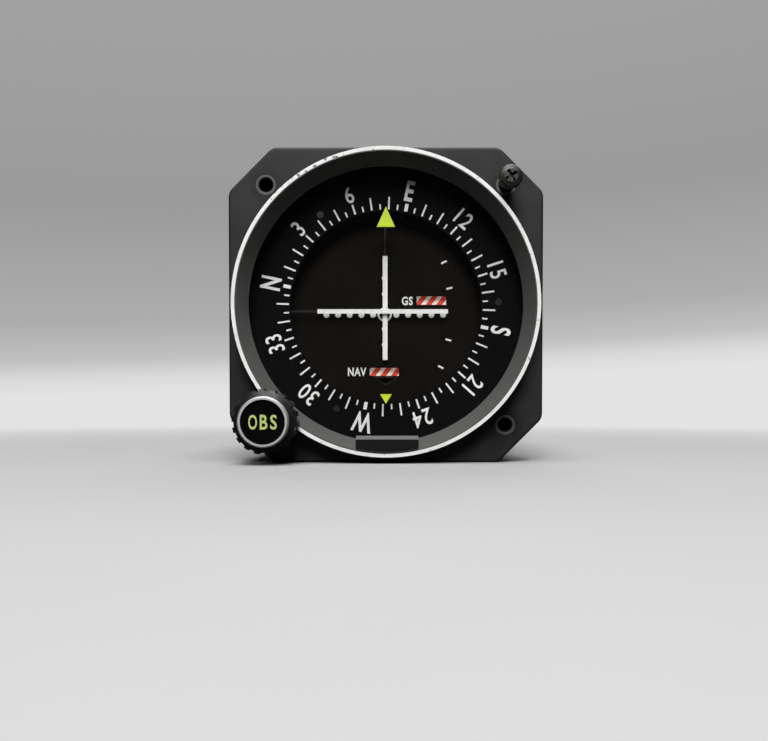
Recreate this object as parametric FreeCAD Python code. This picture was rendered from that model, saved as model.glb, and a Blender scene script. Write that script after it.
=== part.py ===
"""Course deviation indicator for a 3 inch panel hole, in millimetres.

X runs to the viewer's right, Y runs from the face into the panel, Z is up.
The origin is the centre of the dial on the front face of the mounting flange.
"""
import FreeCAD, Part
import math
import os

from FreeCAD import Vector

# Panel hole, screw circle and flange
COLLAR_R = 39.65
COLLAR_H = 6.3
HOLE_MARGIN = 4.8
FLANGE_MARGIN = 1.65
FLANGE_CORNER_MARGIN = 5.75
FLANGE_T = 3.2
FLANGE_EDGE_R = 3.5
FLANGE_FILLET = 0.7
INSERT_BORE_R = 1.8
INSERT_WALL = 0.8
INSERT_BARREL_W = 0.4
INSERT_BARREL_L = 3.0
INSERT_END_T = 0.8
INSERT_CHAMFER = 0.3

# Bezel ring, its sloping wall and the bare name bar
LIP_W = 1.2
SEAT_STEP = 0.65
GLASS_WALL = 1.1
GLASS_LEDGE = 2.0
FUNNEL_DEPTH = 4.7
NAME_BAR_W = 16.1
NAME_BAR_SHIFT = 0.3
NAME_BAR_RISE = 1.6
NAME_BAR_BEVEL_H = 0.9
NAME_BAR_BEVEL_Y = 2.0
NAME_BAR_SUNK = 0.4

# Glass, gasket, retaining ring and the two pointers
GLASS_T = 2.0
GLASS_CLEAR = 0.1
GLASS_EDGE = 0.25
GASKET_W = 1.4
GASKET_T = 0.8
RETAINER_W = 1.0
RETAINER_SPLIT = 5.0
POINTER_T = 0.15
POINTER_TOP_LAP = 0.5
POINTER_TOP_W = 4.8
POINTER_TOP_H = 5.3
POINTER_LOW_LAP = 0.4
POINTER_LOW_W = 3.1
POINTER_LOW_H = 2.5

# Compass card and its ring gear
CARD_HIDDEN_W = 1.1
CARD_W = 11.5
CARD_GAP = 0.4
CARD_T = 0.6
CARD_TEETH = 150
CARD_PINION_TEETH = 22
GEAR_OVERHANG = 0.6
GEAR_LAP = 3.0
CARD_GEAR_T = 1.6
GEAR_BACKLASH = 0.06
RIVET_INSET = 1.6
RIVET_R = 0.9
RIVET_ANGLES = (125.5, 2.6, 244.0)
SLEEVE_WALL = 1.2
SLEEVE_L = 3.0
BOSS_INSET = 4.6
BOSS_WALL = 1.4
BEARING_CLEAR = 0.08
BOSS_GAP = 0.6

# Can, cast front frame and the plate that carries the movements
CASE_STEP = 2.0
CASE_HOLE_GAP = 0.45
CASE_EDGE_R = 3.0
CASE_WALL = 0.9
PINION_CASE_GAP = 0.5
FRAME_KNOB_WALL = 0.65
GEAR_POCKET_CLEAR = 0.35
PINION_POCKET_FLOOR = 2.0
FRAME_FLOOR_T = 2.6
SPIGOT_CLEAR = 0.05
PLATE_T = 1.5

# Dial mask, with its windows as (left, low, right, high), and its posts
MASK_LAP = 2.9
MASK_T = 1.0
MASK_NEEDLE_GAP = 1.15
MASK_POST_R = 1.0
MASK_POST_INSET = 2.0
MASK_POST_ANGLES = (45.0, 135.0, 215.0, 315.0)
NAV_WINDOW = (-4.41, -18.18, 3.57, -15.97)
GS_WINDOW = (8.39, 1.16, 16.5, 3.56)
ARROW_TOP = -18.7
ARROW_W = 6.3
ARROW_H = 1.9

# Needles: the glideslope needle lies in front of the course needle
NEEDLE_T = 0.3
NEEDLE_ARM_W = 0.5
NEEDLE_GAP = 0.9
NEEDLE_GEAR_GAP = 0.55
STAFF_R = 0.5
STAFF_CLEAR = 0.05
HUB_R = 0.85
GS_PIVOT_GAP = 1.0
GS_LINE_Z = -0.85
GS_BAR_X = (-18.5, 16.8)
GS_BAR_W = 1.15
NAV_PIVOT_GAP = 1.5
NAV_LINE_X = -0.2
NAV_BAR_Z = (14.2, -13.9)
NAV_BAR_W = 1.3

# Meter movements behind the plate
CORE_R = 4.5
CORE_L = 8.6
CORE_END_GAP = 1.6
CORE_PIN_R = 0.8
COIL_CLEAR = 0.35
COIL_T = 1.0
COIL_W = 2.6
COIL_FRONT_GAP = 0.25
COIL_SWING_CLEAR = 0.55
YOKE_WALL = 1.2
BRIDGE_T = 1.0
BRIDGE_W = 3.6
SPRING_TURNS = 3
SPRING_T = 0.12
SPRING_W = 0.4
SPRING_IN_R = 0.9
SPRING_PITCH = 0.6
SPRING_GAP = 0.25
STUD_W = 0.6

# Warning flags and the to-from vane, each on a small meter of its own
MOTOR_R = 5.0
MOTOR_L = 8.5
MOTOR_EDGE = 0.6
FLAG_T = 0.2
FLAG_MASK_GAP = 0.45
FLAG_STAFF_R = 0.4
FLAG_OVERLAP = 0.5
FLAG_ARM_W = 1.0
NAV_FLAG_PIVOT = (15.0, -18.0)
GS_FLAG_PIVOT = (-3.0, 2.4)
TO_FROM_PIVOT = (-15.0, -20.0)
TO_FROM_GAP = 0.65
TO_FROM_REST = -15.0

# Course selector: knob, shaft, pinions and resolver
KNOB_ANGLE = 225.0
SHAFT_R = 1.5875
SHAFT_CLEAR = 0.06
BUSHING_SEAT_GAP = 0.4
BUSHING_STEP = 0.8
BUSHING_PROUD = 2.2
KNOB_COLLAR_GAP = 0.6
KNOB_HUB_COLLAR_GAP = 0.55
KNOB_HUB_GAP = 0.25
KNOB_GRIP_R = 8.3
KNOB_GRIP_L = 4.6
KNOB_CONE_L = 1.3
KNOB_SHELL_W = 1.4
KNOB_HOLLOW = 2.0
KNOB_TEETH = 18
KNOB_TOOTH_DEPTH = 0.55
KNOB_RING_R = 6.36
KNOB_RING_WALL = 0.8
KNOB_RING_L = 2.4
KNOB_RING_EDGE = 0.3
KNOB_CAP_RECESS = 0.5
KNOB_CAP_T = 1.2
SHAFT_CAP_GAP = 1.0
SET_SCREW_R = 1.0
SET_SCREW_INSET = 1.6
SET_SCREW_SUNK = 1.1
FRONT_PINION_HUB_R = 2.6
REAR_PINION_HUB_R = 2.4
REAR_PINION_HUB_L = 2.0
PINION_FACE_EXTRA = 0.2
SHAFT_RING_W = 1.2
SHAFT_RING_T = 0.6
RESOLVER_MODULE = 0.3
RESOLVER_TEETH = 150
RESOLVER_PINION_TEETH = 22
RESOLVER_BACKLASH = 0.05
RESOLVER_GEAR_GAP = 0.5
RESOLVER_GEAR_T = 1.5
RESOLVER_HUB_R = 3.4
RESOLVER_HUB_L = 1.0
RESOLVER_WEB_HOLES = 6
RESOLVER_WEB_HOLE_R = 4.6
RESOLVER_WEB_PITCH_R = 12.5
RESOLVER_BRACKET_GAP = 1.3
RESOLVER_BRACKET_T = 2.0
BRACKET_CLEAR = 0.2
BRACKET_HOLES = ((9.0, 17.0, 17.0), (6.5, -8.0, 22.0), (7.0, 20.0, -8.0))
RESOLVER_R = 9.525
RESOLVER_L = 29.0
RESOLVER_PILOT_R = 6.35
RESOLVER_SHAFT_R = 1.2
RESOLVER_SHAFT_IN = 4.0
GROOVE_FRONT = 1.6
GROOVE_W = 1.2
GROOVE_DEPTH = 1.1
RESOLVER_CAP_L = 3.0
RESOLVER_CAP_STEP = 0.5
CLAMP_R = 2.2
CLAMP_T = 1.0
CLAMP_HOOK = 0.7
CLAMP_HEAD_R = 1.5
CLAMP_SHANK_R = 0.9
CLAMP_ANGLES = (15.0, 135.0, 255.0)

# Posts, screws, boards, rear plate and connector
POST_R = 2.3
POST_WALL_GAP = 1.5
POST_STUD_R = 1.2
POST_STUD_L = 1.8
POST_BORE_L = 4.5
POST_STUD_END_GAP = 0.5
POST_TOP_X = 17.0
POST_SIDE_Z = -14.0
POST_LOW_X = 5.0
FRAME_SCREW_R = 0.9
FRAME_SCREW_HEAD_R = 1.5
FRAME_SCREW_HEAD_T = 1.2
FRAME_SCREW_INSET = 1.65
FRAME_SCREW_ANGLES = (25.5, 154.5, 205.5, 295.5)
BOARD_T = 1.6
BOARD_CLEAR = 0.8
BOARD_RESOLVER_GAP = 4.6
BOARD_PITCH = 16.0
CHIP_SIZE = (9.6, 6.4, 3.2)
CHIP_COLUMNS = (-24.0, -8.0, 8.0)
CHIP_ROWS = (-2.0, 12.0)
CAN_R = 3.2
CAN_H = 8.0
CAN_COLUMNS = (-14.0, -4.0, 6.0)
CAN_ROW = -18.0
TRIMMER_SIZE = (6.5, 6.0, 4.5)
TRIMMER_COLUMNS = (-16.0, -2.0)
TRIMMER_ROW = -28.0
REAR_PLATE_T = 3.0
REAR_PLATE_EDGE = 0.8
REAR_SCREW_R = 1.3
REAR_SCREW_IN = 5.0
REAR_SCREW_HEAD_R = 2.2
REAR_SCREW_HEAD_T = 1.6
REAR_SCREW_SLOT = 0.6
CONNECTOR_Z = -4.0
CONNECTOR_W = 38.96
CONNECTOR_H = 8.36
CONNECTOR_LEAN = 10.0
CONNECTOR_CORNER_R = 1.6
CONNECTOR_FLANGE_W = 53.0
CONNECTOR_FLANGE_H = 12.5
CONNECTOR_FLANGE_T = 1.0
CONNECTOR_L = 7.5
CONNECTOR_WALL = 0.8
CONNECTOR_INSERT_L = 2.2
JACK_SPACING = 47.04
JACK_R = 2.4
JACK_BORE_R = 1.2
JACK_L = 5.5
PIN_ROWS = (13, 12)
PIN_PITCH = 2.77
PIN_ROW_PITCH = 2.84
PIN_R = 0.5
PIN_L = 6.9

# Screw left part way out of the upper right mounting hole
SCREW_CLEAR = 0.045
SCREW_HEAD_R = 3.0
SCREW_HEAD_T = 2.0
SCREW_TOP_R = 1.65
SCREW_CROWN_R = 2.64
SCREW_CROWN_T = 0.45
SCREW_RIM_T = 0.9
SCREW_PROUD = 7.5
SCREW_END_EDGE = 0.4
SCREW_END_GAP = 1.2
CROSS_W = 0.9
CROSS_L = 3.4
CROSS_DEPTH = 1.1
CROSS_ANGLE = 32.0

# Radii and half widths worked out from those above
HALF = COLLAR_R + FLANGE_MARGIN
HOLE_PITCH_R = COLLAR_R + HOLE_MARGIN
HOLE = HOLE_PITCH_R / math.sqrt(2)
FLANGE_CORNER = HOLE_PITCH_R + FLANGE_CORNER_MARGIN
INSERT_R = INSERT_BORE_R + INSERT_WALL
INSERT_BARREL_R = INSERT_R + INSERT_BARREL_W
INSERT_PLACES = ((-HOLE, HOLE), (HOLE, HOLE), (HOLE, -HOLE))
SEAT_R = COLLAR_R - SEAT_STEP
GLASS_BORE_R = SEAT_R - GLASS_WALL
GLASS_R = GLASS_BORE_R - GLASS_CLEAR
DIAL_OPENING_R = GLASS_R - GLASS_LEDGE
CARD_OUT_R = DIAL_OPENING_R + CARD_HIDDEN_W
CARD_IN_R = CARD_OUT_R - CARD_W
CARD_PITCH_R = CARD_OUT_R + GEAR_OVERHANG
CARD_MODULE = 2 * CARD_PITCH_R / CARD_TEETH
PINION_PITCH_R = CARD_MODULE * CARD_PINION_TEETH / 2
PINION_TIP_R = PINION_PITCH_R + CARD_MODULE
GEAR_POCKET_R = CARD_PITCH_R + CARD_MODULE + GEAR_POCKET_CLEAR
BOSS_OUT_R = CARD_PITCH_R - BOSS_INSET
BOSS_IN_R = BOSS_OUT_R - BOSS_WALL
CARD_GEAR_IN_R = BOSS_IN_R - GEAR_LAP
RIVET_PITCH_R = CARD_GEAR_IN_R + RIVET_INSET
MASK_R = CARD_IN_R + MASK_LAP
MASK_POST_PITCH_R = MASK_R - MASK_POST_INSET
SHAFT_REACH = CARD_PITCH_R + PINION_PITCH_R
SHAFT_X = SHAFT_REACH * math.cos(math.radians(KNOB_ANGLE))
SHAFT_Z = SHAFT_REACH * math.sin(math.radians(KNOB_ANGLE))
REAR_PINION_TIP_R = RESOLVER_MODULE * (RESOLVER_PINION_TEETH / 2 + 1)
RESOLVER_CENTRES = RESOLVER_MODULE * (RESOLVER_TEETH + RESOLVER_PINION_TEETH) / 2
RESOLVER_REACH = SHAFT_REACH - RESOLVER_CENTRES
RESOLVER_X = RESOLVER_REACH * math.cos(math.radians(KNOB_ANGLE))
RESOLVER_Z = RESOLVER_REACH * math.sin(math.radians(KNOB_ANGLE))
CASE_HALF = HALF - CASE_STEP
CASE_CORNER = HOLE_PITCH_R - INSERT_BARREL_R - CASE_HOLE_GAP
CASE_CORNER_KNOB = SHAFT_REACH + REAR_PINION_TIP_R + PINION_CASE_GAP + CASE_WALL
FRAME_CORNER_KNOB = SHAFT_REACH + PINION_TIP_R + GEAR_POCKET_CLEAR + FRAME_KNOB_WALL
CASE_INNER = (CASE_HALF - CASE_WALL, CASE_CORNER - CASE_WALL, CASE_CORNER_KNOB - CASE_WALL)
CASE_INNER_R = CASE_EDGE_R - CASE_WALL
BUSHING_R = SHAFT_REACH - SEAT_R - BUSHING_SEAT_GAP
KNOB_HUB_R = SHAFT_REACH - COLLAR_R - KNOB_HUB_COLLAR_GAP
KNOB_CAP_R = KNOB_RING_R - KNOB_RING_WALL
GS_PIVOT = (GS_PIVOT_GAP - BOSS_IN_R, GS_LINE_Z)
NAV_PIVOT = (NAV_LINE_X, BOSS_IN_R - NAV_PIVOT_GAP)
YOKE_IN_R = CORE_R + COIL_CLEAR + COIL_T + COIL_SWING_CLEAR
YOKE_R = YOKE_IN_R + YOKE_WALL
POST_EDGE = CASE_INNER[0] - POST_R - POST_WALL_GAP
POST_PLACES = ((-POST_TOP_X, POST_EDGE), (POST_TOP_X, POST_EDGE), (POST_EDGE, POST_SIDE_Z),
               (POST_LOW_X, -POST_EDGE))
FRAME_SCREW_PITCH_R = GEAR_POCKET_R + FRAME_SCREW_INSET
SCREW_SHANK_R = INSERT_BORE_R - SCREW_CLEAR

# Depths worked out from those above
INSERT_REAR = FLANGE_T + INSERT_BARREL_L
INSERT_BORE_END = INSERT_REAR - INSERT_END_T
GLASS_FRONT = FUNNEL_DEPTH - COLLAR_H
GLASS_REAR = GLASS_FRONT + GLASS_T
GASKET_REAR = GLASS_REAR + GASKET_T
CARD_FRONT = FLANGE_T + CARD_GAP
GEAR_FRONT = CARD_FRONT + CARD_T
GEAR_REAR = GEAR_FRONT + CARD_GEAR_T
BOSS_FRONT = GEAR_REAR + BOSS_GAP
GS_FRONT = GEAR_REAR + NEEDLE_GEAR_GAP
NAV_FRONT = GS_FRONT + NEEDLE_GAP
MASK_FRONT = NAV_FRONT + MASK_NEEDLE_GAP
MASK_REAR = MASK_FRONT + MASK_T
FLAG_Y = MASK_REAR + FLAG_MASK_GAP
TO_FROM_Y = FLAG_Y + FLAG_T + TO_FROM_GAP
FRAME_SHOULDER = MASK_REAR
PLATE_FRONT = FRAME_SHOULDER + FRAME_FLOOR_T
PLATE_REAR = PLATE_FRONT + PLATE_T
COIL_REAR = PLATE_REAR + 2 * CORE_END_GAP + CORE_L - COIL_FRONT_GAP
BRIDGE_FRONT = COIL_REAR + SPRING_GAP + 2 * SPRING_W
RESOLVER_GEAR_FRONT = BRIDGE_FRONT + BRIDGE_T + RESOLVER_GEAR_GAP
RESOLVER_GEAR_REAR = RESOLVER_GEAR_FRONT + RESOLVER_GEAR_T
BRACKET_FRONT = RESOLVER_GEAR_REAR + RESOLVER_BRACKET_GAP
BRACKET_REAR = BRACKET_FRONT + RESOLVER_BRACKET_T
METER_BOARD_FRONT = BRACKET_REAR + RESOLVER_L + BOARD_RESOLVER_GAP
CONNECTOR_BOARD_FRONT = METER_BOARD_FRONT + BOARD_PITCH
CASE_REAR = CONNECTOR_BOARD_FRONT + BOARD_PITCH
CASE_END = CASE_REAR + REAR_PLATE_T
KNOB_REAR = -COLLAR_H - KNOB_COLLAR_GAP
KNOB_GRIP_FRONT = KNOB_REAR - KNOB_GRIP_L
KNOB_RING_REAR = KNOB_GRIP_FRONT - KNOB_CONE_L
KNOB_FRONT = KNOB_RING_REAR - KNOB_RING_L
KNOB_CAP_FRONT = KNOB_FRONT + KNOB_CAP_RECESS
KNOB_CAP_REAR = KNOB_CAP_FRONT + KNOB_CAP_T
KNOB_HUB_REAR = -BUSHING_PROUD - KNOB_HUB_GAP


def at(x, z, y=0.0):
    """A point given by its place on the face and its depth."""
    return Vector(x, y, z)


def rod(radius, y0, y1, place=(0.0, 0.0)):
    """A solid cylinder along Y."""
    return Part.makeCylinder(radius, y1 - y0, at(place[0], place[1], y0), Vector(0, 1, 0))


def ring(outer, inner, y0, y1, place=(0.0, 0.0)):
    """A plain ring along Y."""
    return rod(outer, y0, y1, place).cut(rod(inner, y0, y1, place))


def revolve(profile, place=(0.0, 0.0)):
    """A turned piece from a closed (radius, depth) profile."""
    points = [at(place[0] + r, place[1], y) for r, y in profile]
    face = Part.Face(Part.makePolygon(points + points[:1]))
    return face.revolve(at(place[0], place[1]), Vector(0, 1, 0), 360)


def prism(outline, y0, y1):
    """A straight-sided piece from an (x, z) outline."""
    points = [at(x, z, y0) for x, z in outline]
    face = Part.Face(Part.makePolygon(points + points[:1]))
    return face.extrude(Vector(0, y1 - y0, 0))


def block(x0, z0, x1, z1, y0, y1):
    """A box between two corners of the face and two depths."""
    return Part.makeBox(x1 - x0, y1 - y0, z1 - z0, at(x0, z0, y0))


def turned(shape, angle, place=(0.0, 0.0)):
    """The shape turned on the face about a place, anticlockwise for the viewer."""
    copy = shape.copy()
    copy.rotate(at(place[0], place[1]), Vector(0, -1, 0), angle)
    return copy


def polar(radius, angle, place=(0.0, 0.0)):
    """The place at a radius and an angle, measured from X towards Z."""
    turn = math.radians(angle)
    return place[0] + radius * math.cos(turn), place[1] + radius * math.sin(turn)


def join(shapes):
    """One solid from touching or crossing shapes, with its seams removed."""
    whole = shapes[0]
    for shape in shapes[1:]:
        whole = whole.fuse(shape)
    return whole.removeSplitter()


def drill(shape, tools):
    """The shape with every tool cut out of it."""
    for tool in tools:
        shape = shape.cut(tool)
    return shape


def case_outline(half, corner, corner_knob):
    """The corners of a square face whose corners are sliced off at given distances."""
    near = corner * math.sqrt(2) - half
    knob = corner_knob * math.sqrt(2) - half
    return ((-near, half), (near, half), (half, near), (half, -near),
            (near, -half), (-knob, -half), (-half, -knob), (-half, near))


def case_prism(half, corner, corner_knob, y0, y1, edge_r=CASE_EDGE_R):
    """A length of case section with its long edges rounded."""
    body = prism(case_outline(half, corner, corner_knob), y0, y1)
    if edge_r <= 0:
        return body
    long_edges = [e for e in body.Edges if abs(e.tangentAt(e.FirstParameter).y) > 0.99]
    return body.makeFillet(edge_r, long_edges)


def involute_gear(module, teeth, y0, y1, place, tooth_angle, flank_points, backlash):
    """A spur gear along Y with one tooth centred at tooth_angle."""
    pitch_r = module * teeth / 2
    base_r = pitch_r * math.cos(math.radians(20))
    root_r = pitch_r - 1.25 * module
    tip_r = pitch_r + module
    start_r = max(base_r, root_r)

    def roll(radius):
        """The involute's polar angle at a radius, in radians."""
        slope = math.sqrt(max(0.0, (radius / base_r) ** 2 - 1))
        return slope - math.atan(slope)

    half_pitch = (math.pi * module / 2 - backlash) / (2 * pitch_r)
    radii = [start_r + (tip_r - start_r) * i / (flank_points - 1) for i in range(flank_points)]
    flank = [(r, half_pitch + roll(pitch_r) - roll(r)) for r in radii]
    if root_r < base_r:
        flank.insert(0, (root_r, flank[0][1]))
    outline = []
    for tooth in range(teeth):
        middle = math.radians(tooth_angle) + 2 * math.pi * tooth / teeth
        outline += [polar(r, math.degrees(middle - a), place) for r, a in flank]
        outline += [polar(r, math.degrees(middle + a), place) for r, a in reversed(flank)]
    return prism(outline, y0, y1)


def mounting_flange():
    """The square plate: chamfered corners, three insert holes, a bushing hole and the bezel bore."""
    plate = case_prism(HALF, FLANGE_CORNER, FLANGE_CORNER, 0, FLANGE_T, FLANGE_EDGE_R)
    front_edges = [e for e in plate.Edges if e.BoundBox.YMax < 1e-6]
    plate = plate.makeFillet(FLANGE_FILLET, front_edges)
    tools = [rod(SEAT_R, 0, FLANGE_T), rod(BUSHING_R, 0, FLANGE_T, (SHAFT_X, SHAFT_Z))]
    tools += [rod(INSERT_R, 0, FLANGE_T, place) for place in INSERT_PLACES]
    tools += [rod(FRAME_SCREW_R, FLANGE_T - POST_STUD_L, FLANGE_T, p) for p in frame_screw_places()]
    return drill(plate, tools)


def mounting_inserts():
    """Three blind inserts pressed in from behind, each with a closed barrel."""
    profile = ((INSERT_BORE_R + INSERT_CHAMFER, 0), (INSERT_R, 0), (INSERT_R, FLANGE_T),
               (INSERT_BARREL_R, FLANGE_T), (INSERT_BARREL_R, INSERT_REAR), (0, INSERT_REAR),
               (0, INSERT_BORE_END), (INSERT_BORE_R, INSERT_BORE_END),
               (INSERT_BORE_R, INSERT_CHAMFER))
    return Part.makeCompound([revolve(profile, place) for place in INSERT_PLACES])


def bezel_ring():
    """The raised ring with its lip, its sloping inner wall, the glass seat and the bare name bar."""
    lip_in = COLLAR_R - LIP_W
    body = revolve(((lip_in, -COLLAR_H), (COLLAR_R, -COLLAR_H), (COLLAR_R, 0), (SEAT_R, 0),
                    (SEAT_R, FLANGE_T), (GLASS_BORE_R, FLANGE_T), (GLASS_BORE_R, GLASS_FRONT),
                    (DIAL_OPENING_R, GLASS_FRONT)))
    face_y = NAME_BAR_SUNK - COLLAR_H
    bevel_y = face_y + NAME_BAR_BEVEL_Y
    top_z = NAME_BAR_RISE - DIAL_OPENING_R
    face_z = top_z - NAME_BAR_BEVEL_H
    section = ((bevel_y, top_z), (face_y, face_z), (face_y, -COLLAR_R), (GLASS_FRONT, -COLLAR_R),
               (GLASS_FRONT, top_z))
    left = NAME_BAR_SHIFT - NAME_BAR_W / 2
    points = [Vector(left, y, z) for y, z in section]
    bar = Part.Face(Part.makePolygon(points + points[:1])).extrude(Vector(NAME_BAR_W, 0, 0))
    bar = bar.common(rod(COLLAR_R - LIP_W / 2, face_y, GLASS_FRONT))
    return join([body, bar])


def cover_glass():
    """The flat glass disc with its edge lightly bevelled."""
    rim = GLASS_R - GLASS_EDGE
    return revolve(((0, GLASS_FRONT), (rim, GLASS_FRONT), (GLASS_R, GLASS_FRONT + GLASS_EDGE),
                    (GLASS_R, GLASS_REAR - GLASS_EDGE), (rim, GLASS_REAR), (0, GLASS_REAR)))


def course_pointers():
    """The two triangles behind the glass that mark the course and its reciprocal."""
    top_apex = CARD_IN_R + POINTER_TOP_LAP
    low_apex = -CARD_IN_R - POINTER_LOW_LAP
    top = ((0, top_apex), (-POINTER_TOP_W / 2, top_apex - POINTER_TOP_H),
           (POINTER_TOP_W / 2, top_apex - POINTER_TOP_H))
    low = ((0, low_apex), (POINTER_LOW_W / 2, low_apex + POINTER_LOW_H),
           (-POINTER_LOW_W / 2, low_apex + POINTER_LOW_H))
    return Part.makeCompound([prism(o, GLASS_REAR, GLASS_REAR + POINTER_T) for o in (top, low)])


def glass_gasket():
    """The flat ring that seals the glass."""
    return ring(GLASS_R, GLASS_R - GASKET_W, GLASS_REAR, GASKET_REAR)


def glass_retainer():
    """The split spring ring that holds gasket and glass against their seat."""
    body = ring(GLASS_BORE_R - GLASS_CLEAR / 2, GLASS_R - RETAINER_W, GASKET_REAR, FLANGE_T)
    split = block(-RETAINER_SPLIT / 2, -COLLAR_R, RETAINER_SPLIT / 2, 0, GASKET_REAR, FLANGE_T)
    return body.cut(split)


def compass_card():
    """The flat dial ring that carries the compass scale."""
    body = ring(CARD_OUT_R, CARD_IN_R, CARD_FRONT, GEAR_FRONT)
    return drill(body, [rod(RIVET_R, CARD_FRONT, GEAR_FRONT, polar(RIVET_PITCH_R, a))
                        for a in RIVET_ANGLES])


def card_gear():
    """The ring gear behind the card, with the sleeve that runs on the frame's boss."""
    gear = involute_gear(CARD_MODULE, CARD_TEETH, GEAR_FRONT, GEAR_REAR, (0, 0), KNOB_ANGLE, 3,
                         GEAR_BACKLASH)
    sleeve_in = BOSS_OUT_R + BEARING_CLEAR
    sleeve = ring(sleeve_in + SLEEVE_WALL, sleeve_in, GEAR_REAR, GEAR_REAR + SLEEVE_L)
    tools = [rod(CARD_GEAR_IN_R, GEAR_FRONT, GEAR_REAR)]
    tools += [rod(RIVET_R, GEAR_FRONT, GEAR_REAR, polar(RIVET_PITCH_R, a)) for a in RIVET_ANGLES]
    return join([drill(gear, tools), sleeve])


def card_rivets():
    """Three flush rivets that hold the card to its gear."""
    return Part.makeCompound([rod(RIVET_R, CARD_FRONT, GEAR_REAR, polar(RIVET_PITCH_R, a))
                              for a in RIVET_ANGLES])


def shaft_hole(y0, y1, clear=SHAFT_CLEAR):
    """The cutter for a hole that the selector shaft runs in."""
    return rod(SHAFT_R + clear, y0, y1, (SHAFT_X, SHAFT_Z))


def frame_screw_places():
    """The places of the frame's screws, round the gear pocket."""
    return [polar(FRAME_SCREW_PITCH_R, angle) for angle in FRAME_SCREW_ANGLES]


def fit_in_case(clear, y0, y1):
    """A block that fills the can's inside, with a clearance all round."""
    return case_prism(*[size - clear for size in CASE_INNER], y0, y1, CASE_INNER_R)


def front_frame():
    """The casting behind the flange: gear pocket, pinion pocket, floor, boss and spigot."""
    wall = case_prism(CASE_HALF, CASE_CORNER, FRAME_CORNER_KNOB, FLANGE_T, FRAME_SHOULDER)
    pocket = rod(GEAR_POCKET_R, FLANGE_T, FRAME_SHOULDER)
    pinion_pocket = rod(PINION_TIP_R + GEAR_POCKET_CLEAR, FLANGE_T,
                        FRAME_SHOULDER - PINION_POCKET_FLOOR, (SHAFT_X, SHAFT_Z))
    spigot = fit_in_case(SPIGOT_CLEAR, FRAME_SHOULDER, PLATE_FRONT)
    boss = rod(BOSS_OUT_R, BOSS_FRONT, FRAME_SHOULDER)
    body = join([drill(wall, [pocket, pinion_pocket]), spigot, boss])
    tools = [rod(BOSS_IN_R, BOSS_FRONT, PLATE_FRONT), shaft_hole(FLANGE_T, PLATE_FRONT)]
    for place in frame_screw_places():
        tools.append(rod(FRAME_SCREW_R, FLANGE_T, PLATE_FRONT, place))
        tools.append(rod(FRAME_SCREW_HEAD_R, PLATE_FRONT - FRAME_SCREW_HEAD_T, PLATE_FRONT, place))
    for place in POST_PLACES:
        tools.append(rod(POST_STUD_R, PLATE_FRONT - POST_STUD_L, PLATE_FRONT, place))
    return drill(body, tools)


def frame_screws():
    """Four screws that hold the frame to the flange, their heads sunk under the plate."""
    under = PLATE_FRONT - FRAME_SCREW_HEAD_T
    profile = ((0, FLANGE_T - POST_STUD_L), (FRAME_SCREW_R, FLANGE_T - POST_STUD_L),
               (FRAME_SCREW_R, under), (FRAME_SCREW_HEAD_R, under),
               (FRAME_SCREW_HEAD_R, PLATE_FRONT), (0, PLATE_FRONT))
    return Part.makeCompound([revolve(profile, place) for place in frame_screw_places()])


def meter_plate():
    """The plate across the frame that carries the mask, the needles and the flags."""
    body = fit_in_case(SPIGOT_CLEAR, PLATE_FRONT, PLATE_REAR)
    tools = [rod(STAFF_R + STAFF_CLEAR, PLATE_FRONT, PLATE_REAR, p) for p in (NAV_PIVOT, GS_PIVOT)]
    tools += [rod(FLAG_STAFF_R + STAFF_CLEAR, PLATE_FRONT, PLATE_REAR, p)
              for p in (NAV_FLAG_PIVOT, GS_FLAG_PIVOT, TO_FROM_PIVOT)]
    tools += [rod(POST_STUD_R, PLATE_FRONT, PLATE_REAR, place) for place in POST_PLACES]
    tools.append(shaft_hole(PLATE_FRONT, PLATE_REAR, 3 * SHAFT_CLEAR))
    return drill(body, tools)


def from_arrow(margin=0.0):
    """The outline of the small downward window under the course flag."""
    return ((-ARROW_W / 2 - margin, ARROW_TOP + margin), (ARROW_W / 2 + margin, ARROW_TOP + margin),
            (0, ARROW_TOP - ARROW_H - margin))


def dial_mask():
    """The fixed centre disc with its flag windows and arrow window."""
    tools = [block(*window, MASK_FRONT, MASK_REAR) for window in (NAV_WINDOW, GS_WINDOW)]
    tools.append(prism(from_arrow(), MASK_FRONT, MASK_REAR))
    return drill(rod(MASK_R, MASK_FRONT, MASK_REAR), tools)


def mask_posts():
    """The short posts between the plate and the mask."""
    return Part.makeCompound([rod(MASK_POST_R, MASK_REAR, PLATE_FRONT, polar(MASK_POST_PITCH_R, a))
                              for a in MASK_POST_ANGLES])


def needle(pivot, angle, front, start, end, bar_w):
    """A needle at rest: hub, thin arm and broad bar, pointing at an angle from its pivot."""
    hub = rod(HUB_R, front, front + 2 * NEEDLE_T, pivot)
    arm = block(pivot[0], pivot[1] - NEEDLE_ARM_W / 2, pivot[0] + start, pivot[1] + NEEDLE_ARM_W / 2,
                front, front + NEEDLE_T)
    blade = block(pivot[0] + start, pivot[1] - bar_w / 2, pivot[0] + end, pivot[1] + bar_w / 2,
                  front, front + NEEDLE_T)
    staff = rod(STAFF_R, front, PLATE_REAR + COIL_FRONT_GAP, pivot)
    return turned(join([hub, arm, blade, staff]), angle, pivot)


def meter_yoke(pivot):
    """The soft iron ring round a movement, with the holes of the core's pins."""
    middle = PLATE_REAR + CORE_END_GAP + CORE_L / 2
    body = ring(YOKE_R, YOKE_IN_R, PLATE_REAR, BRIDGE_FRONT, pivot)
    return body.cut(core_pin(pivot, middle, YOKE_R))


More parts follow.
